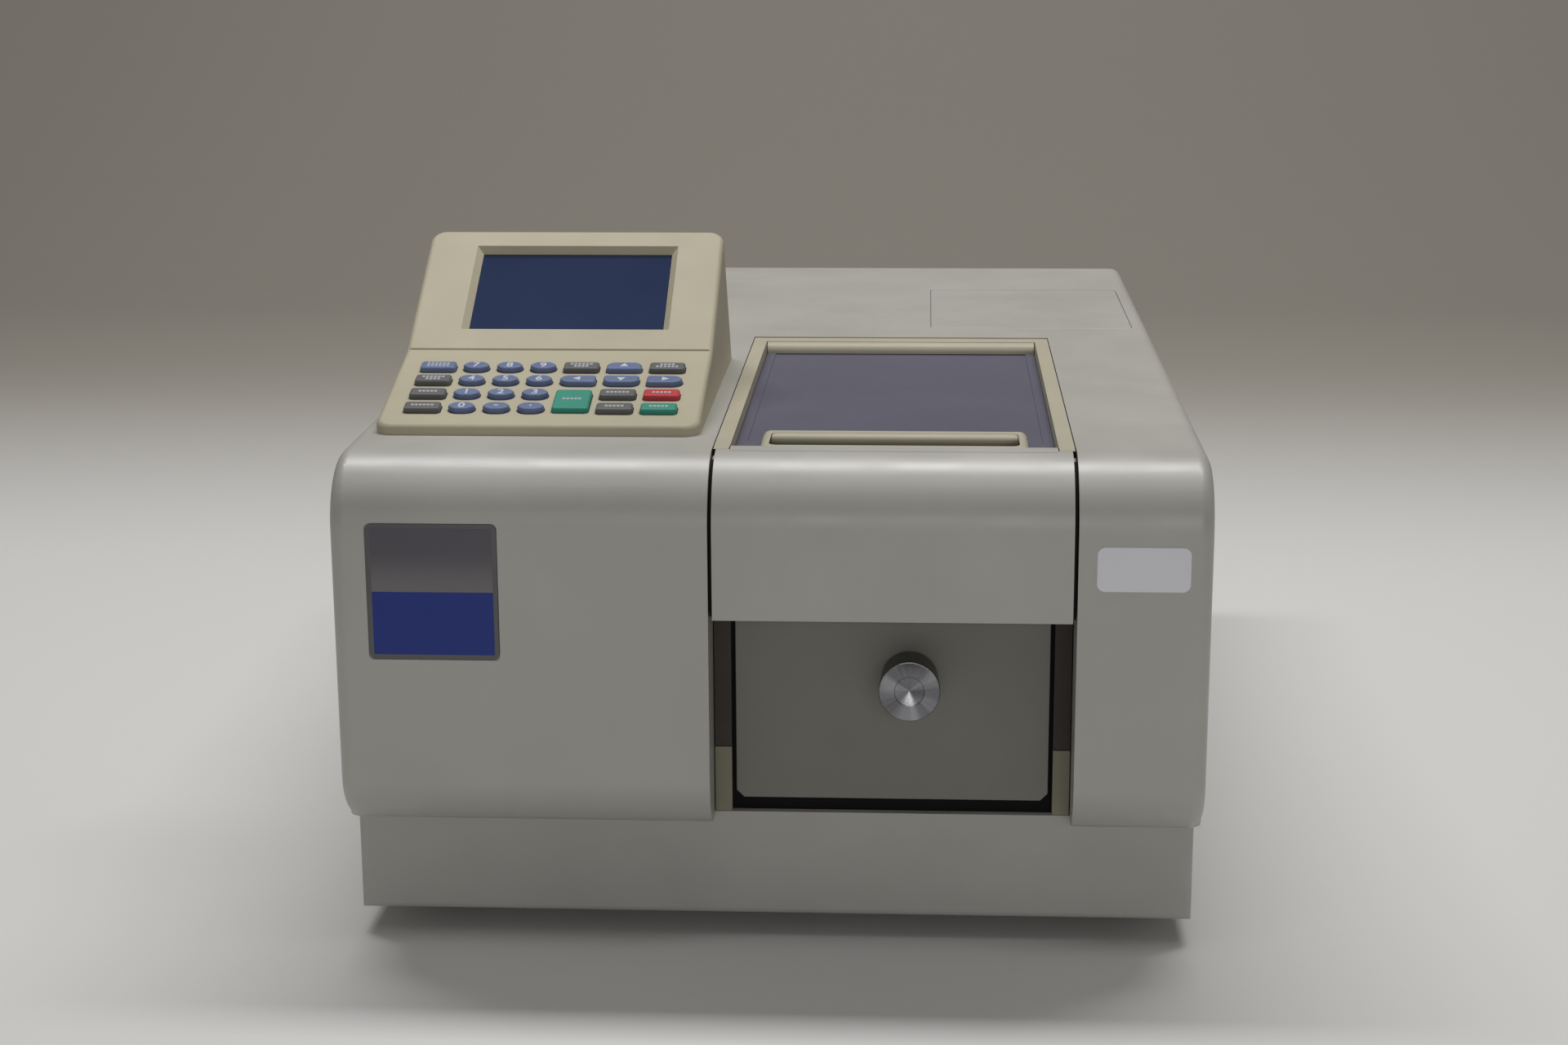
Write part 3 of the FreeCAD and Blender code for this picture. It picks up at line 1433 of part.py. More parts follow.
# Inside the case: optical bench, lamps, detector, supply and main board
def optical_bench():
    low = (bench_foot, bench_top)
    reach = post_side + s.post_radius + 1
    mono_right = -reach + s.mono_width
    arm_right = bay_left - s.bay_flange - s.bench_gap
    plate = block("bench_plate", (-reach, reach), (bench_front, bench_back), low)
    arm = block("bench_arm", (-reach, arm_right), (arm_front, bench_front), low)
    mono = block("mono_case", (-reach, mono_right), (bench_front, bench_back - s.mono_rear_gap),
                 (bench_top, bench_top + s.mono_height))
    channel_right = arm_right - s.channel_gap
    channel = block("beam_channel", (channel_right - s.channel_width, channel_right),
                    (beam_y - s.channel_width / 2, bench_front), (bench_top, beam_z + s.channel_width / 2))
    snout = cylinder("beam_snout", "x", (channel_right, beam_y, beam_z), s.lens_radius,
                     well_left - channel_right)
    lamp_tube = cylinder("lamp_tube", "x", (mono_right, lamp_y, beam_z), s.lens_radius,
                         lamp_left - mono_right)
    parts = [plate, arm, mono, channel, snout, lamp_tube]
    return keep(fuse("optical_bench", parts), "optical_bench")


lamp_left = derived("lamp_house_left_side", cover_left + s.lamp_cover_ledge)
lamp_right = derived("lamp_house_right_side", cover_right - s.lamp_cover_ledge)
lamp_front = derived("lamp_house_front_side", cover_front + s.lamp_cover_ledge)
lamp_back = derived("lamp_house_back_side", cover_back - s.lamp_cover_ledge)
lamp_y = derived("lamp_line", lamp_front + s.lamp_base_radius + s.lamp_margin)


def lamp_house():
    body = new_body("lamp_house")
    sketch = new_sketch(body, "XY_Plane", bench_top)
    rectangle(sketch, (lamp_left, lamp_right), (lamp_front, lamp_back))
    pad(body, sketch, s.lamp_house_height)
    wall = s.lamp_house_wall
    sketch = new_sketch(body, "XY_Plane", bench_top + s.lamp_house_height)
    rectangle(sketch, (lamp_left + wall, lamp_right - wall), (lamp_front + wall, lamp_back - wall))
    pocket(body, sketch, s.lamp_house_height - wall)
    sketch = new_sketch(body, "YZ_Plane", lamp_left - 1)
    disc(sketch, (lamp_y, beam_z), s.lens_radius - wall)
    pocket(body, sketch, wall + 2, reverse=True)
    return body


def lamps():
    bulbs = []
    foot = bench_top + s.lamp_house_wall
    places = ((lamp_left + s.lamp_base_radius + s.lamp_margin, lamp_y),
              (lamp_right - s.lamp_base_radius - s.lamp_margin,
               lamp_back - s.lamp_base_radius - s.lamp_margin))
    for x, y in places:
        base = cylinder("lamp_base", "z", (x, y, foot), s.lamp_base_radius, s.lamp_base_height)
        glass = cylinder("lamp_glass", "z", (x, y, foot + s.lamp_base_height), s.lamp_radius, s.lamp_length)
        dome = doc.addObject("Part::Sphere", "lamp_dome")
        bind(dome, "Radius", s.lamp_radius)
        for name, value in zip("xyz", (x, y, foot + s.lamp_base_height + s.lamp_length)):
            bind(dome, "Placement.Base." + name, value)
        bulbs.append(fuse("lamp", [base, glass, dome]))
    return keep(group("lamps", bulbs), "lamps")


def detector_box():
    x = centred(detector_x, s.detector_width)
    case = block("detector_case", x, centred(beam_y, s.detector_depth), centred(beam_z, s.detector_height))
    snout = cylinder("detector_snout", "x", (well_right, beam_y, beam_z), s.lens_radius, x[0] - well_right)
    post = block("detector_foot", centred(detector_x, s.lens_radius), centred(beam_y, s.detector_depth / 2),
                 (seam, beam_z - s.detector_height / 2))
    return keep(fuse("detector_box", [case, snout, post]), "detector_box")


def power_supply():
    left = -tray_side + s.tray_wall + s.supply_inset
    clear = s.post_radius + s.supply_post_gap
    case = block("supply_case", (left, left + s.supply_width), (post_front + clear, post_back - clear),
                 (tray_floor, tray_floor + s.supply_height))
    return keep(case, "power_supply")


def main_board():
    left = -tray_side + s.tray_wall + 2 * s.supply_inset + s.supply_width + s.board_gap
    near = bench_front + s.supply_inset * 2
    low = tray_floor + s.standoff
    right = post_side - s.post_radius - s.board_gap
    plate = block("board_plate", (left, right), (near, near + s.board_depth), (low, low + s.board_plate))
    parts = [plate]
    edge = s.board_margin
    for x in (left + edge, right - edge):
        for y in (near + edge, near + s.board_depth - edge):
            parts.append(cylinder("standoff", "z", (x, y, tray_floor), s.standoff_radius, s.standoff))
    for row in range(3):
        x = left + (right - left) * (row + 1) / 4
        middle = near + s.board_depth / 2
        parts.append(block("board_chip", centred(x, s.chip_size), centred(middle, s.chip_size),
                           (low, low + s.board_plate + s.chip_height)))
    return keep(fuse("main_board", parts), "main_board")


doc.recompute()
for make in (base_tray, rubber_feet, top_housing, lamp_cover, rear_panel, sample_well, sill_blocks,
             light_seals, front_plate, pull_knob, pull_rod, cell_carriage, carriage_guide, lid_frame,
             lid_front_cover, lid_panel, lid_handle, hinge_pins, console_housing, display_window,
             display_module, keypad_board, power_inlet, power_rocker, signal_ports, fan_frame, fan_rotor,
             optical_bench, lamp_house, lamps, detector_box, power_supply, main_board):
    make()
for key in keys():
    key_cap(key)
doc.recompute()

for thing in doc.Objects:
    if "Invalid" in thing.State or "Error" in thing.State:
        raise RuntimeError(f"{thing.Label} did not build: {thing.State}")
for piece in pieces:
    shape = piece.Shape
    if shape.isNull() or not shape.isValid() or shape.Volume <= 0:
        raise RuntimeError(f"{piece.Label} has no sound shape")
for piece in pieces:
    shape = piece.Shape
    shape.exportStep(f"parts/{piece.Label}.step")
    print(f"{piece.Label:20s} solids {len(shape.Solids):2d}  volume {shape.Volume / 1000:8.1f} cm3")
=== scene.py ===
# %% [markdown]
# Benchtop spectrophotometer: the looks.
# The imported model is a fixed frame: every casing, key and pin is already at its real size and place.
# This lesson dresses it: soft moulded edges, a finish for each plastic and metal, printed keys, a turned
# knob, a display, plates and screws. Nothing that the frame fixed is moved.

# %% Load the frame
import json
import math
import bmesh
import bpy
from mathutils import Matrix, Vector

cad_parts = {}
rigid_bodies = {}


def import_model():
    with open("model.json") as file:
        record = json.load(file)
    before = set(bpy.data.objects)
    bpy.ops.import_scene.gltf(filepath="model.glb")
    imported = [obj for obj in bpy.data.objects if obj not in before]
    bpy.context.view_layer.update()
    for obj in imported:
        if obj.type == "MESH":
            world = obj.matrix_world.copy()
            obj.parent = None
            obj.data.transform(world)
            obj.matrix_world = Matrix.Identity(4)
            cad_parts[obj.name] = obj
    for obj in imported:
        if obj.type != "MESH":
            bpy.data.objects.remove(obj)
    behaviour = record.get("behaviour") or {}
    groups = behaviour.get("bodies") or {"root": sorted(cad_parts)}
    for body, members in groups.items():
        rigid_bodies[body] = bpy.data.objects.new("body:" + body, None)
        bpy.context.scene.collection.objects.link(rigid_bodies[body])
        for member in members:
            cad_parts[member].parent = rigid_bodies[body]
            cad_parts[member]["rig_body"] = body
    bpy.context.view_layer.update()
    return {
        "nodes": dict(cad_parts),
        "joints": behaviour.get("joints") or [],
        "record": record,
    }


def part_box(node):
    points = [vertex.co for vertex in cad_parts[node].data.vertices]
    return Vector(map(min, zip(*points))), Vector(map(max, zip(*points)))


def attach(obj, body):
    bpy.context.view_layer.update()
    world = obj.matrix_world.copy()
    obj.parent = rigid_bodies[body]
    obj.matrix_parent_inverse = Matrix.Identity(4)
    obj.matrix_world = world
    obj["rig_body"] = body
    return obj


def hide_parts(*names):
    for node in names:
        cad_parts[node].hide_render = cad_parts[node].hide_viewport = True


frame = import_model()
MM = 0.001

# %% [markdown]
# The camera comes first, because everything is judged through it.
# Its place was solved from the straight edges of the case in the reference view: a 60 mm lens about
# 1.2 m in front of the case, half a metre up, looking down by 14 degrees.

# %% Camera
CAMERA_PLACE = Vector((0.0702, -1.4431, 0.4893))
CAMERA_YAW = math.radians(3.161)
CAMERA_DOWN = math.radians(13.762)
CAMERA_ROLL = math.radians(-0.285)
FOCAL_LENGTH = 60
FILM_WIDTH = 36
NEAREST = 0.05
lens = bpy.data.cameras.new("camera")
lens.lens = FOCAL_LENGTH
lens.sensor_width = FILM_WIDTH
lens.clip_start = NEAREST
camera = bpy.data.objects.new("camera", lens)
turn = (Matrix.Rotation(CAMERA_YAW, 4, "Z") @ Matrix.Rotation(math.pi / 2 - CAMERA_DOWN, 4, "X")
        @ Matrix.Rotation(CAMERA_ROLL, 4, "Z"))
camera.matrix_world = Matrix.Translation(CAMERA_PLACE) @ turn
bpy.context.scene.collection.objects.link(camera)
bpy.context.scene.camera = camera
print("camera at", tuple(round(v, 3) for v in CAMERA_PLACE))

# %% [markdown]
# A plain studio: a pale floor that curves up into a warm grey backdrop, as a wide sheet of paper does
# when it hangs from a roll. A strip of faces that runs through a quarter circle makes it, so no corner
# shows. The floor's colour passes smoothly into the wall's with the distance behind the case.

# %% The floor and its backdrop
def node_of(tree, kind, **settings):
    node = tree.nodes.new(kind)
    for name, value in settings.items():
        setattr(node, name, value)
    return node


def fresh_material(name):
    material = bpy.data.materials.new(name)
    material.use_nodes = True
    return material, material.node_tree, material.node_tree.nodes["Principled BSDF"]


def link_object(name, mesh):
    thing = bpy.data.objects.new(name, mesh)
    bpy.context.scene.collection.objects.link(thing)
    return thing


def place_in(tree):
    return node_of(tree, "ShaderNodeTexCoord").outputs["Object"]


def coordinate(tree, axis):
    split = node_of(tree, "ShaderNodeSeparateXYZ")
    tree.links.new(place_in(tree), split.inputs["Vector"])
    return split.outputs[axis]


def smooth_step(tree, value, start, stop):
    step = node_of(tree, "ShaderNodeMapRange", interpolation_type="SMOOTHSTEP")
    step.inputs["From Min"].default_value = start
    step.inputs["From Max"].default_value = stop
    tree.links.new(value, step.inputs["Value"])
    return step.outputs["Result"]


def mixed(tree, low, high, factor):
    mix = node_of(tree, "ShaderNodeMix", data_type="RGBA")
    for socket, colour in (("A", low), ("B", high)):
        if isinstance(colour, tuple):
            mix.inputs[socket].default_value = colour
        else:
            tree.links.new(colour, mix.inputs[socket])
    tree.links.new(factor, mix.inputs["Factor"])
    return mix.outputs["Result"]


FLOOR_COLOUR = (0.74, 0.735, 0.72, 1)
FLOOR_ROUGHNESS = 0.6
FLOOR_HALF = 4.0
WALL_COLOUR = (0.40, 0.37, 0.325, 1)
WALL_BLEND = (0.35, 1.3)
BACKDROP_START = 1.6
BACKDROP_RADIUS = 0.8
BACKDROP_STEPS = 12
floor_mesh = bpy.data.meshes.new("floor")
profile = [(-FLOOR_HALF, 0.0), (BACKDROP_START, 0.0)]
for step in range(1, BACKDROP_STEPS + 1):
    angle = math.pi / 2 * step / BACKDROP_STEPS
    profile.append((BACKDROP_START + BACKDROP_RADIUS * math.sin(angle),
                    BACKDROP_RADIUS * (1 - math.cos(angle))))
profile.append((BACKDROP_START + BACKDROP_RADIUS, FLOOR_HALF))
points = [(x, y, z) for y, z in profile for x in (-FLOOR_HALF, FLOOR_HALF)]
faces = [(2 * i, 2 * i + 1, 2 * i + 3, 2 * i + 2) for i in range(len(profile) - 1)]
floor_mesh.from_pydata(points, [], faces)
floor_mesh.shade_smooth()
floor = link_object("floor", floor_mesh)
floor_material, tree, shader = fresh_material("pale_floor")
wall = smooth_step(tree, coordinate(tree, "Y"), *WALL_BLEND)
tree.links.new(mixed(tree, FLOOR_COLOUR, WALL_COLOUR, wall), shader.inputs["Base Color"])
shader.inputs["Roughness"].default_value = FLOOR_ROUGHNESS
floor_mesh.materials.append(floor_material)
print("floor and backdrop of", len(faces), "strips")

# %% [markdown]
# A long tube lamp a little behind the case lights the tops and throws the case's shadow forwards. A
# second tube in front of the case draws the band of light along the brow. A weak lamp, lower and
# further in front, brings the upright faces to half the brightness of the tops. These proportions were
# measured in the reference view.

# %% Lamps and world
def area_lamp(name, place, target, size, power):
    data = bpy.data.lights.new(name, "AREA")
    data.shape = "RECTANGLE"
    data.size, data.size_y = size
    data.energy = power
    lamp = bpy.data.objects.new(name, data)
    lamp.location = place
    lamp.rotation_euler = (Vector(target) - Vector(place)).to_track_quat("-Z", "Y").to_euler()
    bpy.context.scene.collection.objects.link(lamp)


area_lamp("overhead", (0.0, 0.42, 2.2), (0.0, 0.0, 0.1), (2.4, 0.3), 37)
area_lamp("front_tube", (0.2, -0.8, 2.2), (0.0, -0.2, 0.2), (2.0, 0.4), 4.5)
area_lamp("front_fill", (0.4, -2.7, 0.75), (0.0, 0.0, 0.15), (1.8, 0.5), 7.6)
ROOM_COLOUR = (1.0, 0.985, 0.96, 1)
ROOM_STRENGTH = 0.14
world = bpy.data.worlds.new("studio")
world.use_nodes = True
room = world.node_tree.nodes["Background"]
room.inputs["Color"].default_value = ROOM_COLOUR
room.inputs["Strength"].default_value = ROOM_STRENGTH
bpy.context.scene.world = world
bpy.context.scene.view_settings.view_transform = "Standard"
print("three lamps and the world are set")

# %% [markdown]
# Moulded plastic is never one flat colour. Light skims over a fine spark-eroded grain, the colour
# drifts a little where hands and dust have been, and the gloss is patchy. One function builds that
# finish: a drifting base colour, a varied roughness and two scales of bump, all in object space so
# that the pattern stays with the piece.

# %% A finish for moulded plastic
def noise_of(tree, where, scale, detail=2.0, roughness=0.5):
    noise = node_of(tree, "ShaderNodeTexNoise")
    noise.inputs["Scale"].default_value = scale
    noise.inputs["Detail"].default_value = detail
    noise.inputs["Roughness"].default_value = roughness
    tree.links.new(where, noise.inputs["Vector"])
    return noise.outputs["Fac"]


def ranged(tree, value, low, high):
    ramp = node_of(tree, "ShaderNodeMapRange")
    ramp.inputs["From Min"].default_value = 0.3
    ramp.inputs["From Max"].default_value = 0.7
    ramp.inputs["To Min"].default_value = low
    ramp.inputs["To Max"].default_value = high
    tree.links.new(value, ramp.inputs["Value"])
    return ramp.outputs["Result"]


def bump_of(tree, height, strength, distance, below=None):
    bump = node_of(tree, "ShaderNodeBump")
    bump.inputs["Strength"].default_value = strength
    bump.inputs["Distance"].default_value = distance
    tree.links.new(height, bump.inputs["Height"])
    if below is not None:
        tree.links.new(below, bump.inputs["Normal"])
    return bump.outputs["Normal"]


def scaled(colour, factor):
    return tuple(min(1.0, channel * factor) for channel in colour[:3]) + (1,)


DRIFT_SCALE = 9
GLOSS_SCALE = 26
FINE_BUMP = 0.02 * MM
COARSE_BUMP = 0.04 * MM


def plastic(name, colour, roughness=0.45, grain=1400, depth=0.5, drift=0.06, specular=0.4):
    material, tree, shader = fresh_material(name)
    where = place_in(tree)
    broad = noise_of(tree, where, DRIFT_SCALE, 4, 0.6)
    tint = mixed(tree, scaled(colour, 1 - drift), scaled(colour, 1 + drift), ranged(tree, broad, 0, 1))
    tree.links.new(tint, shader.inputs["Base Color"])
    patchy = noise_of(tree, where, GLOSS_SCALE, 3)
    tree.links.new(ranged(tree, patchy, roughness - 0.05, roughness + 0.06), shader.inputs["Roughness"])
    shader.inputs["Specular IOR Level"].default_value = specular
    fine = noise_of(tree, where, grain, 2, 0.6)
    coarse = noise_of(tree, where, grain / 4, 1)
    normal = bump_of(tree, coarse, depth * 0.5, COARSE_BUMP)
    tree.links.new(bump_of(tree, fine, depth, FINE_BUMP, normal), shader.inputs["Normal"])
    return material


print("one function for every moulded plastic")

# %% [markdown]
# Each name below is a finish that the record, or a piece of a later cell, asks for. The colours are
# linear and were judged against the reference view: the housing is a warm grey with a soft gloss, the
# console a yellower beige, the keys are blue, grey, red and green, and the bay is nearly black.

# %% The plastics
HOUSING = (0.447, 0.434, 0.398)
BEIGE = (0.49, 0.447, 0.325)
finishes = {
    "housing_plastic": plastic("housing_plastic", HOUSING, 0.4, specular=0.95),
    "base_plastic": plastic("base_plastic", (0.445, 0.43, 0.403)),
    "console_plastic": plastic("console_plastic", BEIGE, 0.55, specular=0.3),
    "trim_plastic": plastic("trim_plastic", (0.47, 0.435, 0.33), 0.48),
    "panel_plastic": plastic("panel_plastic", (0.112, 0.108, 0.15), 0.5, 900, 0.9, specular=0.3),
    "plate_plastic": plastic("plate_plastic", (0.22, 0.212, 0.186), 0.5),
    "well_plastic": plastic("well_plastic", (0.007, 0.007, 0.007), 0.7, specular=0.12),
    "seal_foam": plastic("seal_foam", (0.075, 0.062, 0.055), 0.9, 500, 1.0, 0.12, 0.2),
    "foot_rubber": plastic("foot_rubber", (0.012, 0.012, 0.012), 0.8, 600, 0.8),
    "inlet_plastic": plastic("inlet_plastic", (0.015, 0.015, 0.016), 0.4),
    "rocker_plastic": plastic("rocker_plastic", (0.012, 0.012, 0.013), 0.25, 3000, 0.1),
    "display_black": plastic("display_black", (0.008, 0.01, 0.016), 0.6, specular=0.2),
    # Painted shade: the sill blocks are the trim's beige, darkened for the shade of the bay.
    "block_shade_plastic": plastic("block_shade_plastic", (0.25, 0.232, 0.17), 0.5),
    # Painted shade: the next two are no part's own colour; they stand in for the shade behind the lid's
    # cover, on the rails' flanks and in the handle's pocket.
    "shade_plastic": plastic("shade_plastic", (0.012, 0.012, 0.011), 0.7, specular=0.15),
    "pocket_shade_plastic": plastic("pocket_shade_plastic", (0.09, 0.086, 0.062), 0.6, specular=0.2),
    "bench_casting": plastic("bench_casting", (0.03, 0.03, 0.033), 0.7, 700, 1.0),
    "lamp_glass": plastic("lamp_glass", (0.6, 0.62, 0.64), 0.2, 3000, 0.05),
    "key_blue": plastic("key_blue", (0.14, 0.185, 0.335), 0.42),
    "key_grey": plastic("key_grey", (0.125, 0.125, 0.125), 0.45),
    "key_red": plastic("key_red", (0.56, 0.045, 0.055), 0.4),
    "key_green": plastic("key_green", (0.035, 0.29, 0.21), 0.42),
}
print(len(finishes), "plastic finishes")

# %% [markdown]
# Metals need their tooling marks. Turned aluminium carries fine rings about the lathe's axis, which
# smear each reflection into a wedge that points at the centre. A wave texture makes the rings, and the
# shader's tangent, taken as the cross product of the axis and the place, makes the wedges. A noise that
# reads only that direction darkens some wedges in the base colour, which is a painted reflection of a
# dark room and not a mark of the metal. Sheet steel wears a powder coat with an orange-peel bump.

# %% Finishes for turned and sheet metal
RING_SCALE = 700
RING_WANDER = 0.4
RING_STRETCH = 0.85
# The next two set the painted reflection: a noise that darkens some wedges of a turned face.
PAINTED_WEDGE_SCALE = 1.6
PAINTED_WEDGE_CONTRAST = 0.45
METAL_DRIFT = 0.06
METAL_DRIFT_SCALE = 60
METAL_GRAIN = 2500
METAL_DEPTH = 0.2


def turned(tree, shader, where, centre):
    place = node_of(tree, "ShaderNodeMapping")
    place.inputs["Location"].default_value = tuple(-v for v in centre)
    tree.links.new(where, place.inputs["Vector"])
    wave = node_of(tree, "ShaderNodeTexWave", wave_type="RINGS", rings_direction="Y")
    wave.inputs["Scale"].default_value = RING_SCALE
    wave.inputs["Distortion"].default_value = RING_WANDER
    tree.links.new(place.outputs["Vector"], wave.inputs["Vector"])
    around = node_of(tree, "ShaderNodeVectorMath", operation="CROSS_PRODUCT")
    around.inputs[1].default_value = (0, 1, 0)
    tree.links.new(place.outputs["Vector"], around.inputs[0])
    level = node_of(tree, "ShaderNodeVectorMath", operation="NORMALIZE")
    tree.links.new(around.outputs["Vector"], level.inputs[0])
    tree.links.new(level.outputs["Vector"], shader.inputs["Tangent"])
    shader.inputs["Anisotropic"].default_value = RING_STRETCH
    # The second value is the painted reflection of the wedges.
    return wave.outputs["Fac"], noise_of(tree, level.outputs["Vector"], PAINTED_WEDGE_SCALE, 2)


def metal(name, colour, roughness, turned_about=None):
    material, tree, shader = fresh_material(name)
    shader.inputs["Metallic"].default_value = 1.0
    where = place_in(tree)
    broad = noise_of(tree, where, METAL_DRIFT_SCALE, 3)
    spread = METAL_DRIFT
    fine = noise_of(tree, where, METAL_GRAIN, 2)
    height = fine
    if turned_about is not None:
        # On turned metal the colour noise is the painted reflection of the wedges; elsewhere it is the
        # metal's own drift.
        height, broad = turned(tree, shader, where, turned_about)
        spread = PAINTED_WEDGE_CONTRAST
    tint = mixed(tree, scaled(colour, 1 - spread), scaled(colour, 1 + spread), ranged(tree, broad, 0, 1))
    tree.links.new(tint, shader.inputs["Base Color"])
    tree.links.new(ranged(tree, fine, roughness - 0.04, roughness + 0.05), shader.inputs["Roughness"])
    tree.links.new(bump_of(tree, height, METAL_DEPTH, FINE_BUMP), shader.inputs["Normal"])
    return material


knob_low, knob_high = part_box("pull_knob")
knob_axis = (knob_low + knob_high) / 2
# The knob's base colour is far darker than bare aluminium: a painted reflection of the dark room in front.
finishes["knob_aluminium"] = metal("knob_aluminium", (0.235, 0.235, 0.25), 0.26, knob_axis)
# Painted shade: the flanks' darker, warmer colour stands in for the shade under the front cover.
finishes["knob_shaded_side"] = metal("knob_shaded_side", (0.2, 0.193, 0.172), 0.4)
finishes["rod_steel"] = metal("rod_steel", (0.55, 0.55, 0.56), 0.25)
finishes["carriage_aluminium"] = metal("carriage_aluminium", (0.035, 0.035, 0.037), 0.45)
finishes["port_metal"] = metal("port_metal", (0.52, 0.52, 0.50), 0.32)
finishes["lamp_house_sheet"] = metal("lamp_house_sheet", (0.1, 0.1, 0.1), 0.4)
finishes["rear_sheet"] = plastic("rear_sheet", (0.36, 0.35, 0.33), 0.5, 420, 1.2, 0.05)
print(len(finishes), "finishes with the metals")

# %% [markdown]
# The display's window is a dark tinted sheet deep in a recess, so its upper edge lies in shade. One
# finish does both: a blue that drifts a little, and a smooth fall into near black along the slope of
# the sheet, over the last few millimetres. The boards inside wear the green of solder resist.

# %% Finishes for glass and circuit board
SCREEN_DARK = (0.014, 0.027, 0.078, 1)
SCREEN_LIGHT = (0.021, 0.036, 0.097, 1)
SCREEN_SHADE = (0.004, 0.006, 0.01, 1)
SCREEN_ROUGHNESS = 0.5
SCREEN_SPECULAR = 0.03
DISPLAY_SHADE = 5.0 * MM
glass_low, glass_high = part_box("display_window")
rise = Vector((0, glass_high.y - glass_low.y, glass_high.z - glass_low.z))
slope = rise.normalized()
top_edge = slope.dot(glass_high)


def screen(name):
    material, tree, shader = fresh_material(name)
    where = place_in(tree)
    broad = noise_of(tree, where, 14, 2)
    tint = mixed(tree, SCREEN_DARK, SCREEN_LIGHT, ranged(tree, broad, 0, 1))
    along = node_of(tree, "ShaderNodeVectorMath", operation="DOT_PRODUCT")
    along.inputs[1].default_value = (0, slope.y, slope.z)
    tree.links.new(where, along.inputs[0])
    shade = smooth_step(tree, along.outputs["Value"], top_edge - DISPLAY_SHADE, top_edge)
    tree.links.new(mixed(tree, tint, SCREEN_SHADE, shade), shader.inputs["Base Color"])
    shader.inputs["Roughness"].default_value = SCREEN_ROUGHNESS
    shader.inputs["Specular IOR Level"].default_value = SCREEN_SPECULAR
    fine = noise_of(tree, where, 2600, 1)
    tree.links.new(bump_of(tree, fine, 0.15, FINE_BUMP / 2), shader.inputs["Normal"])
    return material


finishes["circuit_board"] = plastic("circuit_board", (0.02, 0.12, 0.05), 0.35, 800, 0.2)
finishes["display_glass"] = screen("display_glass")
print(len(finishes), "finishes in all")

# %% [markdown]
# Every node of the frame first gets the finish that the record names for it. Later cells replace some
# of these nodes with finer pieces.

# %% Dress every node
slot_of = {part["node"]: part["material_slot"] for part in frame["record"]["subparts"]}
for name, node in frame["nodes"].items():
    node.data.materials.clear()
    node.data.materials.append(finishes[slot_of[name]])
print(len(slot_of), "nodes dressed")

# %% [markdown]
# A mould leaves every edge a little round, and that thin highlight is what makes plastic look real.
# The frame's faces are loose triangles, so a copy is merged, its flat faces are joined again, and a
# bevel of the mould's own radius runs along the sharp edges. Faces pierced by many holes have no single
# outline, so on those parts the triangles stay. The copy then stands for the node.

# %% Helpers that round the edges of a node's copy
PIERCED = ("rear_panel", "cell_carriage", "power_inlet")
MERGE_DISTANCE = 1e-6
FLAT_ANGLE = math.radians(0.4)
BEVEL_ANGLE = math.radians(32)
SHARP_ANGLE = math.radians(40)


def cleaned_copy(node, cuts=()):
    mesh = frame["nodes"][node].data.copy()
    work = bmesh.new()
    work.from_mesh(mesh)
    bmesh.ops.remove_doubles(work, verts=work.verts, dist=MERGE_DISTANCE)
    if node not in PIERCED:
        bmesh.ops.dissolve_limit(work, angle_limit=FLAT_ANGLE, verts=work.verts, edges=work.edges,
                                 delimit={"NORMAL"})
    for place, normal in cuts:
        everything = work.verts[:] + work.edges[:] + work.faces[:]
        bmesh.ops.bisect_plane(work, geom=everything, plane_co=place, plane_no=normal)
    work.to_mesh(mesh)
    work.free()
    return mesh


def applied(piece):
    graph = bpy.context.evaluated_depsgraph_get()
    mesh = bpy.data.meshes.new_from_object(piece.evaluated_get(graph))
    piece.modifiers.clear()
    piece.data = mesh


def baked(piece):
    applied(piece)
    piece.data.shade_smooth()
    piece.data.set_sharp_from_angle(angle=SHARP_ANGLE)
    flat = piece.modifiers.new("flat", "WEIGHTED_NORMAL")
    flat.weight = 100
    flat.keep_sharp = True
    applied(piece)


def soft_edged(node, width, segments=3, finish=None, cuts=()):
    piece = link_object(node + "_soft", cleaned_copy(node, cuts))
    piece.data.materials.clear()
    piece.data.materials.append(finish or finishes[slot_of[node]])
    bevel = piece.modifiers.new("edges", "BEVEL")
    bevel.width = width
    bevel.segments = segments
    bevel.limit_method = "ANGLE"
    bevel.angle_limit = BEVEL_ANGLE
    bevel.miter_outer = "MITER_ARC"
    baked(piece)
    body = frame["nodes"][node]["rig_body"]
    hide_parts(node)
    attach(piece, body)
    return piece


print(len(PIERCED), "pierced parts keep their triangles")

# %% [markdown]
# The width of the round differs from part to part, in millimetres: the hood and its lid are thick
# mouldings with a generous edge, the console is crisper, and sheet parts are only just broken. The lid's
# frame is also cut across behind its front cover, so that the part behind the cover can take painted
# shade while the rest keeps the trim's colour.

# %% Round the edges
EDGES = {
    "base_tray": 0.6, "top_housing": 0.8, "lamp_cover": 0.3, "rear_panel": 0.3,
    "lid_front_cover": 0.9, "lid_frame": 0.7, "lid_panel": 0.3, "lid_handle": 1.4,
    "console_housing": 0.35, "front_plate": 0.35, "sill_blocks": 0.4, "sample_well": 0.3,
    "cell_carriage": 0.3, "rubber_feet": 0.8, "power_inlet": 0.4, "power_rocker": 0.5,
    "fan_frame": 0.5, "light_seals": 0.3,
}
handle_low, handle_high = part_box("lid_handle")
CUTS = {"lid_frame": [(Vector((0, handle_low.y, 0)), Vector((0, 1, 0)))]}
# The sill blocks take the darkened beige, which is painted shade.
OWN_FINISH = {"sill_blocks": finishes["block_shade_plastic"]}
soft = {}
for node, width in EDGES.items():
    soft[node] = soft_edged(node, width * MM, finish=OWN_FINISH.get(node), cuts=CUTS.get(node, ()))
    print(node, len(soft[node].data.polygons), "faces")

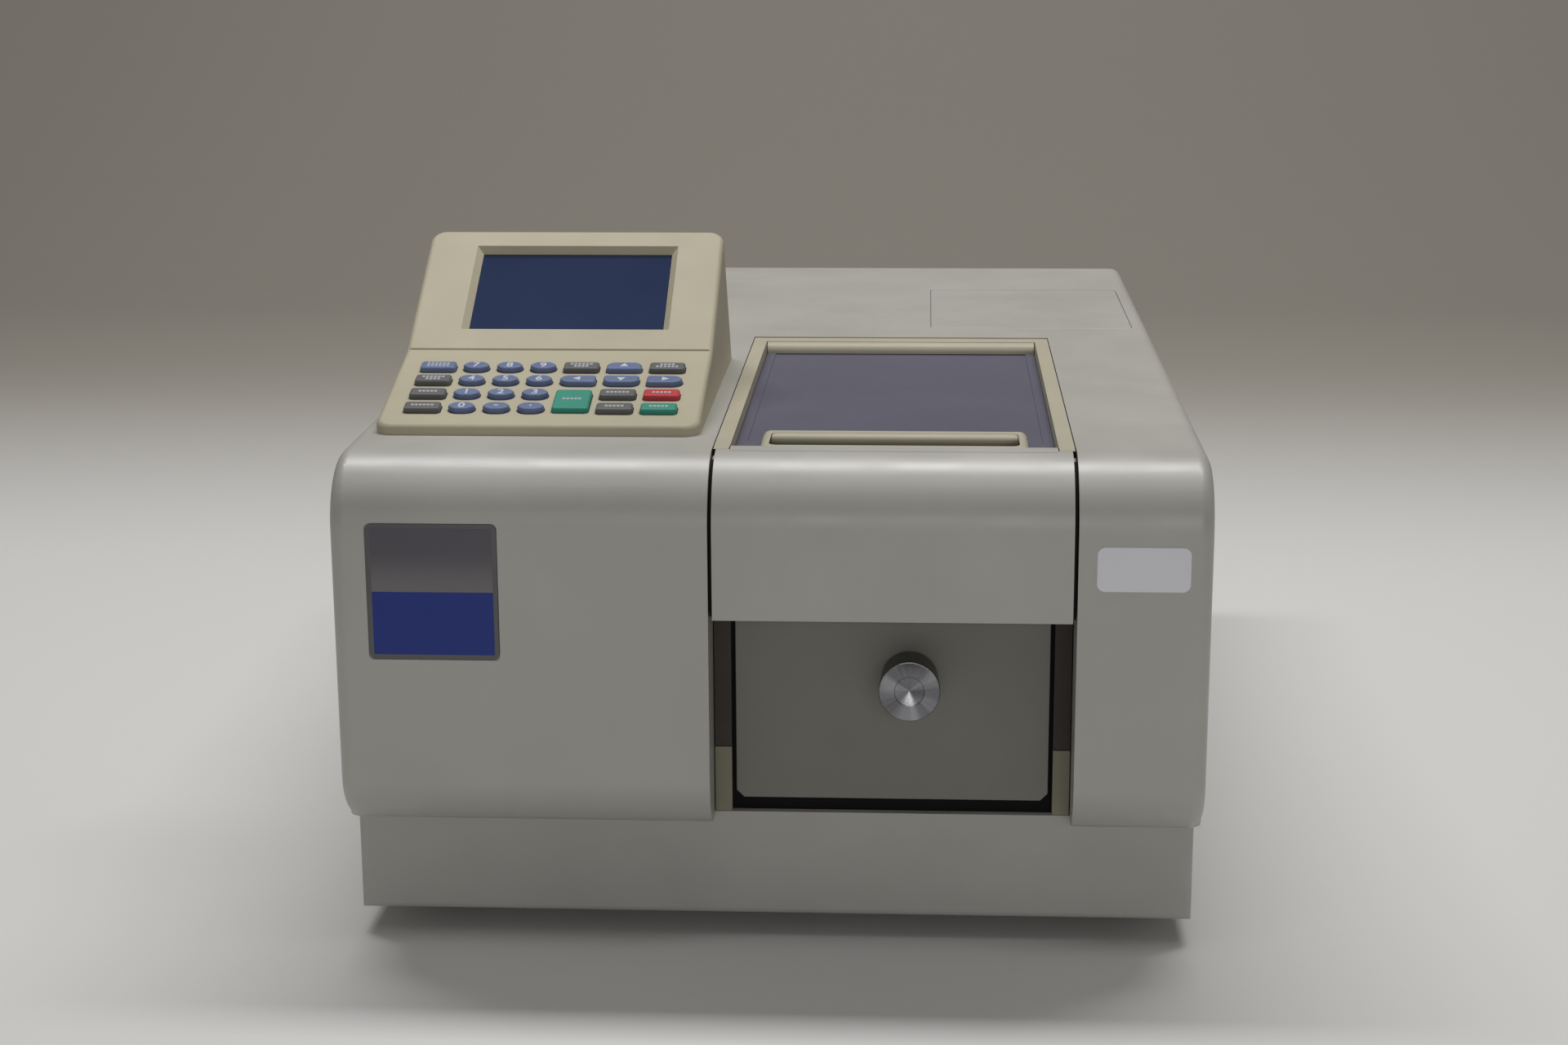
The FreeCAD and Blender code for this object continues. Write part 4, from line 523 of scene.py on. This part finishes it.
# %% [markdown]
# Some faces of one moulding are seen only through a gap, and there they get painted shade: a near black
# on the sides of the lid's frame behind its front cover, and a dark grey on the inner flanks of the two
# rails and in the finger pocket of the handle.

# %% Paint shade on the faces behind the gaps
panel_low, panel_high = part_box("lid_panel")
LEVEL_FACE = 0.98
SIDE_FACE = 0.7
POCKET_WALL = 3.2 * MM
POCKET_FRONT = 2.2 * MM
POCKET_FLOOR = 1.0 * MM
POCKET_RIM = 1.6 * MM


def tinted(piece, finish, wanted):
    piece.data.materials.append(finish)
    count = 0
    for face in piece.data.polygons:
        if wanted(face.center, face.normal):
            face.material_index = len(piece.data.materials) - 1
            count += 1
    print(piece.name, count, "faces in", finish.name)


def behind_the_cover(centre, normal):
    return centre.y < handle_low.y and normal.z < LEVEL_FACE


def rail_flank(centre, normal):
    return centre.z > panel_high.z and centre.y > handle_low.y and abs(normal.x) > SIDE_FACE


def inside_pocket(centre, normal):
    inside_x = handle_low.x + POCKET_WALL < centre.x < handle_high.x - POCKET_WALL
    inside_y = handle_low.y + POCKET_FRONT < centre.y < handle_high.y - POCKET_WALL
    inside_z = handle_low.z + POCKET_FLOOR < centre.z < handle_high.z - POCKET_RIM
    return inside_x and inside_y and inside_z


# Painted shade on the lid's frame and in the handle's pocket.
tinted(soft["lid_frame"], finishes["shade_plastic"], behind_the_cover)
tinted(soft["lid_frame"], finishes["pocket_shade_plastic"], rail_flank)
tinted(soft["lid_handle"], finishes["pocket_shade_plastic"], inside_pocket)

# %% [markdown]
# The handle is lifted by its rear bar, which is rounded for the fingers and hangs a little over the
# pocket. The bar's nose is a half-round profile drawn out between the pocket's two ends, as an
# extruded strip would be.

# %% The grip of the handle
CURVE_STEPS = 12
DRAWN_SHARP = math.radians(50)
GRIP_REACH = 4.6 * MM
GRIP_DEPTH = 6.4 * MM
GRIP_FULLNESS = 0.8
GRIP_WALL = 4.5 * MM
GRIP_CREST = 0.25 * MM
GRIP_END = 4.0 * MM


def walled(work, first, second):
    for index in range(len(first)):
        after = (index + 1) % len(first)
        work.faces.new((first[index], first[after], second[after], second[index]))


def mesh_from(work, name):
    bmesh.ops.recalc_face_normals(work, faces=work.faces)
    mesh = bpy.data.meshes.new(name)
    work.to_mesh(mesh)
    work.free()
    return mesh


def smoothed(mesh, sharp):
    mesh.shade_smooth()
    mesh.set_sharp_from_angle(angle=sharp)
    return mesh


def drawn_out(name, profile, ends, finish, body):
    work = bmesh.new()
    sides = [[work.verts.new((x, y, z)) for y, z in profile] for x in ends]
    walled(work, *sides)
    for side in sides:
        work.faces.new(side)
    mesh = smoothed(mesh_from(work, name), DRAWN_SHARP)
    mesh.materials.append(finishes[finish])
    piece = link_object(name, mesh)
    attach(piece, body)
    print(name, round(1000 * (ends[1] - ends[0])), "mm long")


wall_face = handle_high.y - GRIP_WALL
crest = handle_high.z - GRIP_CREST
grip_ends = (handle_low.x + GRIP_END, handle_high.x - GRIP_END)
grip_profile = []
for step in range(CURVE_STEPS + 1):
    angle = math.pi * step / CURVE_STEPS
    grip_profile.append((wall_face - GRIP_REACH * math.sin(angle) ** GRIP_FULLNESS,
                         crest - GRIP_DEPTH / 2 * (1 - math.cos(angle))))
drawn_out("handle_grip", grip_profile, grip_ends, "trim_plastic", "lid")

# %% [markdown]
# The rear bar of the lid's frame runs down to the panel in a hollow curve, because a mould fills better
# with one. Below it a flat web closes the slot between the bar and the sample well, so that no light
# gets in. Both are strips along the lid, so both are drawn out like the grip.

# %% The curve behind the panel and the web below it
FILLET_REACH = 6.0 * MM
FILLET_FULLNESS = 0.9
FILLET_FOOT = 0.02 * MM
FILLET_BACK = 0.3 * MM
FILLET_CREST = 0.4 * MM
FILLET_REAR_CREST = 0.6 * MM
FILLET_END = 0.1 * MM
WEB_BACK = 0.5 * MM
WEB_UNDERSIDE = 1.6 * MM
WEB_TOP = 0.05 * MM
frame_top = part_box("lid_frame")[1].z
foot = panel_high.z + FILLET_FOOT
fillet_back = panel_high.y + FILLET_BACK
fillet_ends = (panel_low.x + FILLET_END, panel_high.x - FILLET_END)
fillet = [(fillet_back, foot), (fillet_back, frame_top - FILLET_REAR_CREST)]
for step in range(CURVE_STEPS + 1):
    angle = math.pi / 2 * step / CURVE_STEPS
    fillet.append((panel_high.y - FILLET_REACH * math.sin(angle),
                   foot + (frame_top - FILLET_CREST - foot) * math.cos(angle) ** FILLET_FULLNESS))
drawn_out("rear_fillet", fillet, fillet_ends, "trim_plastic", "lid")
web_y = (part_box("sample_well")[1].y, panel_high.y + WEB_BACK)
web_z = (panel_low.z - WEB_UNDERSIDE, panel_low.z - WEB_TOP)
web = [(web_y[0], web_z[0]), (web_y[1], web_z[0]), (web_y[1], web_z[1]), (web_y[0], web_z[1])]
drawn_out("hinge_web", web, (panel_low.x, panel_high.x), "trim_plastic", "lid")

# %% [markdown]
# The knob is turned from bar. A turned part is a profile spun about its axis, so its outline is a short
# list of (place along the axis, radius) and a loop makes the rings. Where the radius is nothing, the
# ring is a single point.

# %% A helper that spins a profile about a level axis
SPUN_STEPS = 96
SPUN_SHARP = math.radians(28)


def spun(name, profile, axis):
    work = bmesh.new()
    rings = []
    for along, radius in profile:
        if radius == 0:
            rings.append([work.verts.new((axis.x, along, axis.z))])
            continue
        ring = []
        for step in range(SPUN_STEPS):
            angle = 2 * math.pi * step / SPUN_STEPS
            ring.append(work.verts.new((axis.x + radius * math.cos(angle), along,
                                        axis.z + radius * math.sin(angle))))
        rings.append(ring)
    for first, second in zip(rings, rings[1:]):
        for step in range(SPUN_STEPS):
            after = (step + 1) % SPUN_STEPS
            corners = [first[step % len(first)], second[step % len(second)],
                       second[after % len(second)], first[after % len(first)]]
            loop = list(dict.fromkeys(corners))
            if len(loop) > 2:
                work.faces.new(loop)
    return link_object(name, smoothed(mesh_from(work, name), SPUN_SHARP))


print("rings of", SPUN_STEPS, "points")

# %% [markdown]
# Its front is a bright disc with a shallow conical dimple for the finger tip and a chamfered rim. Behind
# the rim a plain waist runs back to the rod, which is let into a bore. The flanks take a rougher finish
# and a darker, warmer colour; that colour is painted shade, from the front cover that overhangs them.

# %% The knob
KNOB_RADIUS = (knob_high.x - knob_low.x) / 2
WAIST_STEP = 0.9 * MM
KNOB_WAIST = KNOB_RADIUS - WAIST_STEP
DIMPLE_RADIUS = 7.0 * MM
DIMPLE_DEPTH = 2.0 * MM
DIMPLE_TIP = 0.5 * MM
DIMPLE_TIP_RISE = 0.2 * MM
RIM_WIDTH = 5.0 * MM
EDGE = 0.3 * MM
BORE_RADIUS = 3.0 * MM
BORE_DEPTH = 12.0 * MM
near = knob_low.y
far = knob_high.y
knob_profile = [
    (near + DIMPLE_DEPTH, 0),
    (near + DIMPLE_DEPTH - DIMPLE_TIP_RISE, DIMPLE_TIP),
    (near + EDGE, DIMPLE_RADIUS - EDGE),
    (near, DIMPLE_RADIUS),
    (near, KNOB_RADIUS - 2 * EDGE),
    (near + 0.3 * EDGE, KNOB_RADIUS - EDGE),
    (near + EDGE, KNOB_RADIUS - 0.3 * EDGE),
    (near + 2 * EDGE, KNOB_RADIUS),
    (near + RIM_WIDTH - EDGE, KNOB_RADIUS),
    (near + RIM_WIDTH, KNOB_RADIUS - EDGE),
    (near + RIM_WIDTH + 2 * EDGE, KNOB_WAIST),
    (far - EDGE, KNOB_WAIST),
    (far, KNOB_WAIST - EDGE),
    (far, BORE_RADIUS),
    (far - BORE_DEPTH, BORE_RADIUS),
    (far - BORE_DEPTH, 0),
]


# The faces that take the painted shade of the flanks.
def shaded_knob_flank(centre, normal):
    return centre.y > near + 2 * EDGE and abs(normal.y) < SIDE_FACE


knob = spun("turned_knob", knob_profile, knob_axis)
knob.data.materials.append(finishes["knob_aluminium"])
tinted(knob, finishes["knob_shaded_side"], shaded_knob_flank)
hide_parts("pull_knob")
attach(knob, "cell_changer")
print("knob", round(2000 * KNOB_RADIUS, 1), "mm across")

# %% [markdown]
# The keys are moulded caps with a small round all over. The keypad slopes, so whatever goes on a key is
# laid out flat first and then carried to its crown by one matrix: across the key, up the slope, and out
# along the line that the key travels on. The digit keys are ellipses and each arrow key bulges on the
# side that it points to, so their caps are bent a little.

# %% Where each key's crown lies
CROWN_DEPTH = 0.01 * MM
CAP_MARGIN = 0.6 * MM
BULGE = {"up": (0, 1), "down": (0, -1), "left": (-1, 0), "right": (1, 0), "round": (0, 0)}
BEND = 0.34
press_axis = {joint["child"]: Vector(joint["axis"]) for joint in frame["joints"]}


def crown_of(key):
    out = -press_axis[key].normalized()
    across = Vector((1, 0, 0))
    up = out.cross(across)
    points = [vertex.co for vertex in frame["nodes"][key].data.vertices]
    height = max(point.dot(out) for point in points)
    crown = [point for point in points if point.dot(out) > height - CROWN_DEPTH]
    spans = [[direction.dot(point) for point in crown] for direction in (across, up)]
    middle = [(min(span) + max(span)) / 2 for span in spans]
    size = [max(span) - min(span) for span in spans]
    place = across * middle[0] + up * middle[1] + out * height
    turn = Matrix((across, up, out)).transposed().to_4x4()
    return Matrix.Translation(place) @ turn, size


def shape_of(name):
    if name.isdigit() or name in ("minus", "point"):
        return "round"
    return name if name in BULGE else None


def bent(cap, place, size, side):
    into = place.inverted()
    half = (size[0] / 2 + CAP_MARGIN, size[1] / 2 + CAP_MARGIN)
    aim = BULGE[side]
    for vertex in cap.data.vertices:
        point = into @ vertex.co
        u = point.x / half[0]
        v = point.y / half[1]
        if side == "round" or u * aim[0] > 0:
            point.x *= math.sqrt(max(0, 1 - BEND * v * v))
        if side == "round" or v * aim[1] > 0:
            point.y *= math.sqrt(max(0, 1 - BEND * u * u))
        vertex.co = place @ point


print(len(press_axis), "joints with an axis")

# %% [markdown]
# The printing is a film of white ink that stands a few hundredths of a millimetre proud. Digits are
# plain type, the arrow keys carry triangles, and words are rows of small blocks in a weaker ink. Type
# comes from a text curve; every other sign is a flat outline given that thickness.

# %% Signs for the keys
PRINT_HEIGHT = 0.06 * MM
DIGIT_SIZE = 6.8 * MM
DIGIT_WEIGHT = 0.12 * MM
LETTER_PITCH = 1.9
LETTER_WIDTH = 1.35
LETTER_HEIGHT = 1.8
ROW_OFFSET = 1.2
ARROW_REACH = 2.4
ink = plastic("legend_ink", (0.58, 0.60, 0.66), 0.6, 2000, 0.1, 0.02)
faint_ink = plastic("word_ink", (0.42, 0.43, 0.46), 0.6, 2000, 0.1, 0.02)


def digit_mesh(text):
    curve = bpy.data.curves.new("digit", "FONT")
    curve.body = text
    curve.size = DIGIT_SIZE
    curve.extrude = PRINT_HEIGHT / 2
    curve.offset = DIGIT_WEIGHT
    curve.align_x = "CENTER"
    maker = link_object("digit_maker", curve)
    graph = bpy.context.evaluated_depsgraph_get()
    mesh = bpy.data.meshes.new_from_object(maker.evaluated_get(graph))
    bpy.data.objects.remove(maker)
    centre = (Vector(min(v.co[i] for v in mesh.vertices) for i in range(3))
              + Vector(max(v.co[i] for v in mesh.vertices) for i in range(3))) / 2
    mesh.transform(Matrix.Translation(-centre))
    return mesh


def slab_mesh(outlines):
    work = bmesh.new()
    for outline in outlines:
        low = [work.verts.new((x * MM, y * MM, -PRINT_HEIGHT / 2)) for x, y in outline]
        high = [work.verts.new((x * MM, y * MM, PRINT_HEIGHT / 2)) for x, y in outline]
        work.faces.new(high)
        work.faces.new(low[::-1])
        walled(work, low, high)
    return mesh_from(work, "legend")


def bar(width, height):
    return [(-width / 2, -height / 2), (width / 2, -height / 2),
            (width / 2, height / 2), (-width / 2, height / 2)]


def word(letters, y=0.0):
    start = -LETTER_PITCH * (letters - 1) / 2
    return [[(start + LETTER_PITCH * index + x, y + z) for x, z in bar(LETTER_WIDTH, LETTER_HEIGHT)]
            for index in range(letters)]


def two_words(above, below):
    return word(above, ROW_OFFSET) + word(below, -ROW_OFFSET)


def triangle(turn):
    corners = []
    for angle in (90, 210, 330):
        radians = math.radians(angle + turn)
        corners.append((ARROW_REACH * math.cos(radians), ARROW_REACH * math.sin(radians)))
    return corners


symbols = {
    "up": [triangle(0)], "left": [triangle(90)], "down": [triangle(180)], "right": [triangle(270)],
    "minus": [bar(2.2, 0.9)], "point": [bar(1.1, 1.1)],
    "mode": two_words(6, 6), "goto_wavelength": two_words(6, 4),
    "set_reference": two_words(4, 6), "store": two_words(6, 4),
    "shift": word(6), "menu": word(6),
    "enter": word(5), "print": word(5), "cancel": word(5), "clear": word(5), "run": word(5),
}
print(len(symbols), "signs that are not digits")

# %% [markdown]
# Each key now gets its rounded cap, bent where its shape asks for it, and its legend. The legend is a
# piece of its own that travels with the key, as printing does.

# %% Caps and legends
KEY_EDGE = 0.3 * MM
for node in sorted(slot_of):
    if not node.startswith("key_"):
        continue
    cap = soft_edged(node, KEY_EDGE, 2)
    name = node.removeprefix("key_")
    mesh = digit_mesh(name) if name.isdigit() else slab_mesh(symbols[name])
    place, size = crown_of(node)
    side = shape_of(name)
    if side:
        bent(cap, place, size, side)
    mesh.transform(place @ Matrix.Translation((0, 0, PRINT_HEIGHT / 4)))
    mesh.materials.clear()
    mesh.materials.append(ink if side else faint_ink)
    legend = link_object("legend_" + name, mesh)
    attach(legend, node)
print("keys printed")

# %% [markdown]
# Screws repeat, so a small node tree makes them all at once. Its input is a cloud of points that carry
# the direction each screw faces. On every point it sets a chamfered head, turned by a seeded random
# angle, with a cross recess cut by two crossed bars. The sizes are named inputs, so the same tree also
# serves the contact pins of the signal ports, which are the same stud without a recess.

# %% The node tree for studs
STUD_SIDES = 24


def stud_tree():
    tree = bpy.data.node_groups.new("studs", "GeometryNodeTree")
    face = tree.interface
    face.new_socket("Points", in_out="INPUT", socket_type="NodeSocketGeometry")
    for name, value in (("Radius", 3.0), ("Top Radius", 2.4), ("Height", 1.2), ("Slot Width", 0.8)):
        face.new_socket(name, in_out="INPUT", socket_type="NodeSocketFloat").default_value = value * MM
    face.new_socket("Recess", in_out="INPUT", socket_type="NodeSocketBool").default_value = True
    face.new_socket("Seed", in_out="INPUT", socket_type="NodeSocketInt").default_value = 7
    face.new_socket("Finish", in_out="INPUT", socket_type="NodeSocketMaterial")
    face.new_socket("Studs", in_out="OUTPUT", socket_type="NodeSocketGeometry")
    given = tree.nodes.new("NodeGroupInput").outputs
    head = node_of(tree, "GeometryNodeMeshCone")
    head.inputs["Vertices"].default_value = STUD_SIDES
    tree.links.new(given["Top Radius"], head.inputs["Radius Top"])
    tree.links.new(given["Radius"], head.inputs["Radius Bottom"])
    tree.links.new(given["Height"], head.inputs["Depth"])
    lift = node_of(tree, "ShaderNodeCombineXYZ")
    tree.links.new(given["Height"], lift.inputs["Z"])
    bars = []
    for first, second in (("Radius", "Slot Width"), ("Slot Width", "Radius")):
        size = node_of(tree, "ShaderNodeCombineXYZ")
        tree.links.new(given[first], size.inputs["X"])
        tree.links.new(given[second], size.inputs["Y"])
        tree.links.new(given["Height"], size.inputs["Z"])
        cube = node_of(tree, "GeometryNodeMeshCube")
        tree.links.new(size.outputs["Vector"], cube.inputs["Size"])
        raised = node_of(tree, "GeometryNodeTransform")
        tree.links.new(cube.outputs["Mesh"], raised.inputs["Geometry"])
        tree.links.new(lift.outputs["Vector"], raised.inputs["Translation"])
        bars.append(raised.outputs["Geometry"])
    cut = node_of(tree, "GeometryNodeMeshBoolean", operation="DIFFERENCE")
    tree.links.new(head.outputs["Mesh"], cut.inputs["Mesh 1"])
    for crossbar in bars:
        tree.links.new(crossbar, cut.inputs["Mesh 2"])
    choice = node_of(tree, "GeometryNodeSwitch", input_type="GEOMETRY")
    tree.links.new(given["Recess"], choice.inputs["Switch"])
    tree.links.new(head.outputs["Mesh"], choice.inputs["False"])
    tree.links.new(cut.outputs["Mesh"], choice.inputs["True"])
    facing = node_of(tree, "GeometryNodeInputNamedAttribute", data_type="FLOAT_VECTOR")
    facing.inputs["Name"].default_value = "facing"
    aim = node_of(tree, "FunctionNodeAlignRotationToVector", axis="Z")
    tree.links.new(facing.outputs["Attribute"], aim.inputs["Vector"])
    place = node_of(tree, "GeometryNodeInstanceOnPoints")
    tree.links.new(given["Points"], place.inputs["Points"])
    tree.links.new(choice.outputs["Output"], place.inputs["Instance"])
    tree.links.new(aim.outputs["Rotation"], place.inputs["Rotation"])
    spin = node_of(tree, "FunctionNodeRandomValue", data_type="FLOAT_VECTOR")
    spin.inputs["Min"].default_value = (0, 0, 0)
    spin.inputs["Max"].default_value = (0, 0, 2 * math.pi)
    tree.links.new(given["Seed"], spin.inputs["Seed"])
    turned_studs = node_of(tree, "GeometryNodeRotateInstances")
    tree.links.new(place.outputs["Instances"], turned_studs.inputs["Instances"])
    tree.links.new(spin.outputs["Value"], turned_studs.inputs["Rotation"])
    real = node_of(tree, "GeometryNodeRealizeInstances")
    tree.links.new(turned_studs.outputs["Instances"], real.inputs["Geometry"])
    dress = node_of(tree, "GeometryNodeSetMaterial")
    tree.links.new(real.outputs["Geometry"], dress.inputs["Geometry"])
    tree.links.new(given["Finish"], dress.inputs["Material"])
    tree.links.new(dress.outputs["Geometry"], tree.nodes.new("NodeGroupOutput").inputs["Studs"])
    return tree


STUDS = stud_tree()
print(len(STUDS.nodes), "nodes in the stud tree")

# %% [markdown]
# A set of studs is then a list of places and facings. They go into a cloud of points, the tree runs over
# it, and its result is kept as one plain mesh that rides on one body.

# %% A helper that sets studs
def studs(name, places, body, slot, **settings):
    mesh = bpy.data.meshes.new(name)
    mesh.from_pydata([point for point, facing in places], [], [])
    values = mesh.attributes.new("facing", "FLOAT_VECTOR", "POINT")
    for index, (point, facing) in enumerate(places):
        values.data[index].vector = facing
    piece = link_object(name, mesh)
    maker = piece.modifiers.new("studs", "NODES")
    maker.node_group = STUDS
    for item in STUDS.interface.items_tree:
        if item.name in settings:
            maker[item.identifier] = settings[item.name]
    applied(piece)
    piece.data.shade_flat()
    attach(piece, body)
    print(name, len(places), "studs,", len(piece.data.polygons), "faces")


# %% [markdown]
# The rear panel is held by screws along its rim and the fan by four at its corners. Six more close the
# base from below: two along each side, one in front and one behind.

# %% Screws of the case
REARWARD = (0, 1, 0)
DOWNWARD = (0, 0, -1)
RIM_INSET = 7.0 * MM
RIM_MIDDLE_X = 62.0 * MM
RIM_MIDDLE_Z = (90 * MM, 158 * MM)
FAN_INSET = 4.25 * MM
SIDE_SCREW_X = 186 * MM
SIDE_SCREW_Y = (-100 * MM, 120 * MM)
END_SCREW_Y = (-268 * MM, 288 * MM)
back_low, back_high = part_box("rear_panel")
fan_low, fan_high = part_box("fan_frame")
fan_middle = (fan_low + fan_high) / 2
rim_x = (back_low.x + RIM_INSET, -RIM_MIDDLE_X, RIM_MIDDLE_X, back_high.x - RIM_INSET)
rim_z = (back_low.z + RIM_INSET, *RIM_MIDDLE_Z, back_high.z - RIM_INSET)
case_screws = [((x, back_high.y, z), REARWARD) for x in rim_x for z in rim_z
               if x in (rim_x[0], rim_x[-1]) or z in (rim_z[0], rim_z[-1])]
reach = (fan_high.x - fan_low.x) / 2 - FAN_INSET
case_screws += [((fan_middle.x + across * reach, back_high.y, fan_middle.z + up * reach), REARWARD)
                for across in (-1, 1) for up in (-1, 1)]
tray_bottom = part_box("base_tray")[0].z
below = [(x, y) for x in (-SIDE_SCREW_X, SIDE_SCREW_X) for y in SIDE_SCREW_Y]
below += [(0.0, y) for y in END_SCREW_Y]
case_screws += [((x, y, tray_bottom), DOWNWARD) for x, y in below]
studs("case_screws", case_screws, "case", "rod_steel", Radius=3.0 * MM, Height=1.2 * MM,
      Finish=finishes["rod_steel"], Seed=11)

# %% [markdown]
# Each signal port has a pair of jack screws in its flange and two staggered rows of contact pins, 13
# above 12. The pins are thin studs with nothing cut into them.

# %% Jack screws and pins of the signal ports
FLANGE_WIDTH = 53.0 * MM
FLANGE_PLATE = 1.0 * MM
JACK_INSET = 3.4 * MM
PIN_PITCH = 2.77 * MM
PIN_ROW = 1.4 * MM
PIN_FOOT = 0.2 * MM
PIN_ROWS = ((1, 13), (-1, 12))
port_low, port_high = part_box("signal_ports")
port_middle_z = (port_low.z + port_high.z) / 2
port_middles = (port_low.x + FLANGE_WIDTH / 2, port_high.x - FLANGE_WIDTH / 2)
jacks = [((x + side * (FLANGE_WIDTH / 2 - JACK_INSET), back_high.y + FLANGE_PLATE, port_middle_z), REARWARD)
         for x in port_middles for side in (-1, 1)]
studs("port_jacks", jacks, "case", "port_metal", **{"Top Radius": 1.7 * MM, "Slot Width": 0.6 * MM},
      Radius=2.0 * MM, Height=1.4 * MM, Finish=finishes["port_metal"], Seed=3)

pins = []
for x in port_middles:
    for row, count in PIN_ROWS:
        for index in range(count):
            pins.append(((x + (index - (count - 1) / 2) * PIN_PITCH, back_high.y + PIN_FOOT,
                          port_middle_z + row * PIN_ROW), REARWARD))
studs("port_pins", pins, "case", "port_metal", **{"Top Radius": 0.35 * MM}, Radius=0.5 * MM,
      Height=2.2 * MM, Recess=False, Finish=finishes["port_metal"])

# %% [markdown]
# Two plates sit on the front: a badge on the left and a small domed label on the right. Each is a
# rounded rectangle that faces the operator. One helper makes the outline. Another sets it up in layers
# from the back of the plate to its face, and the layers draw in along a quarter circle, as the edge of
# a coined plate or of a resin dome does.

# %% Rounded plates
CORNER_STEPS = 8
DOME_RINGS = 5
SMALLEST_CORNER = 0.05 * MM
PLATE_SHARP = math.radians(35)


def rounded_outline(width, height, radius):
    outline = []
    for corner, (right, up) in enumerate(((1, 1), (-1, 1), (-1, -1), (1, -1))):
        for step in range(CORNER_STEPS + 1):
            angle = math.radians(90 * corner + 90 * step / CORNER_STEPS)
            outline.append((right * (width / 2 - radius) + radius * math.cos(angle),
                            up * (height / 2 - radius) + radius * math.sin(angle)))
    return outline


def front_plate_piece(name, centre, width, height, radius, thickness, dome=0.0):
    work = bmesh.new()
    layers = [[work.verts.new((centre.x + x, centre.y, centre.z + z))
               for x, z in rounded_outline(width, height, radius)]]
    for ring in range(DOME_RINGS + 1):
        turn = math.pi / 2 * ring / DOME_RINGS
        inset = dome * (1 - math.cos(turn))
        rise = thickness - dome + dome * math.sin(turn)
        corner = max(radius - inset, SMALLEST_CORNER)
        outline = rounded_outline(width - 2 * inset, height - 2 * inset, corner)
        layers.append([work.verts.new((centre.x + x, centre.y - rise, centre.z + z)) for x, z in outline])
    for first, second in zip(layers, layers[1:]):
        walled(work, first, second)
    work.faces.new(layers[0])
    work.faces.new(layers[-1])
    return link_object(name, smoothed(mesh_from(work, name), PLATE_SHARP))


print("plates with corners of", CORNER_STEPS, "steps")

# %% [markdown]
# The dark field of the badge lightens towards its foot, because the plate leans and its lower part sees
# more of the floor. The finish blends two colours by height, over the plastic's own drift.

# %% A finish that lightens downwards
def graded(name, upper, lower, top, bottom):
    material = plastic(name, upper, 0.42, 1800, 0.3)
    tree = material.node_tree
    shader = tree.nodes["Principled BSDF"]
    fall = smooth_step(tree, coordinate(tree, "Z"), top, bottom)
    drifting = shader.inputs["Base Color"].links[0].from_socket
    tree.links.new(mixed(tree, drifting, (*lower, 1), fall), shader.inputs["Base Color"])
    return material


print("a graded finish is ready")

# %% [markdown]
# The badge is a plate in three parts, as an enamelled one would be: a frame, a dark brushed field above
# and a blue field below. The fields stand a tenth of a millimetre proud of a thin border. The label is
# white vinyl under clear resin. Both are bare.

# %% Badge and label
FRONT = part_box("top_housing")[0].y
BADGE_MIDDLE = Vector((-0.153, FRONT + 1.0 * MM, 0.17645))
BADGE_WIDTH = 60.0 * MM
BADGE_HEIGHT = 63.7 * MM
BADGE_CORNER = 3.0 * MM
BADGE_THICKNESS = 0.8 * MM
BADGE_DOME = 0.3 * MM
BADGE_FRAME = 2.2 * MM
BLUE_SHARE = 0.5
FIELD_BACK = 0.22 * MM
FIELD_CORNER = 0.4 * MM
FIELD_THICKNESS = 0.12 * MM
FIELD_WIDTH = BADGE_WIDTH - 2 * BADGE_FRAME
BLUE_TOP = BADGE_MIDDLE.z - BADGE_HEIGHT / 2 + BLUE_SHARE * BADGE_HEIGHT
badge = front_plate_piece("badge_plate", BADGE_MIDDLE, BADGE_WIDTH, BADGE_HEIGHT, BADGE_CORNER,
                          BADGE_THICKNESS, BADGE_DOME)
badge.data.materials.append(plastic("badge_frame", (0.125, 0.122, 0.128), 0.4))
upper_height = BADGE_HEIGHT / 2 + BADGE_MIDDLE.z - BLUE_TOP - BADGE_FRAME
upper_middle = Vector((BADGE_MIDDLE.x, FRONT + FIELD_BACK, BLUE_TOP + upper_height / 2))
badge_upper = front_plate_piece("badge_upper", upper_middle, FIELD_WIDTH, upper_height,
                                FIELD_CORNER, FIELD_THICKNESS)
badge_upper.data.materials.append(graded("badge_upper", (0.105, 0.098, 0.116), (0.19, 0.178, 0.182),
                                         BADGE_MIDDLE.z + BADGE_HEIGHT / 3, BLUE_TOP))
lower_height = BADGE_HEIGHT - upper_height - 2 * BADGE_FRAME
lower_middle = Vector((BADGE_MIDDLE.x, FRONT + FIELD_BACK, BLUE_TOP - lower_height / 2))
badge_lower = front_plate_piece("badge_lower", lower_middle, FIELD_WIDTH, lower_height,
                                FIELD_CORNER, FIELD_THICKNESS)
badge_lower.data.materials.append(plastic("badge_blue", (0.024, 0.046, 0.25), 0.4, 2600, 0.1, 0.05, 0.25))
LABEL_MIDDLE = Vector((0.1686, FRONT, 0.19))
LABEL_WIDTH = 42.0 * MM
LABEL_HEIGHT = 20.7 * MM
LABEL_CORNER = 3.6 * MM
LABEL_THICKNESS = 0.6 * MM
LABEL_DOME = 0.55 * MM
label = front_plate_piece("white_label", LABEL_MIDDLE, LABEL_WIDTH, LABEL_HEIGHT, LABEL_CORNER,
                          LABEL_THICKNESS, LABEL_DOME)
label.data.materials.append(plastic("label_white", (0.80, 0.80, 0.84), 0.15, 3000, 0.05, 0.02))
for piece in (badge, badge_upper, badge_lower, label):
    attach(piece, "case")
print("badge and label in place")
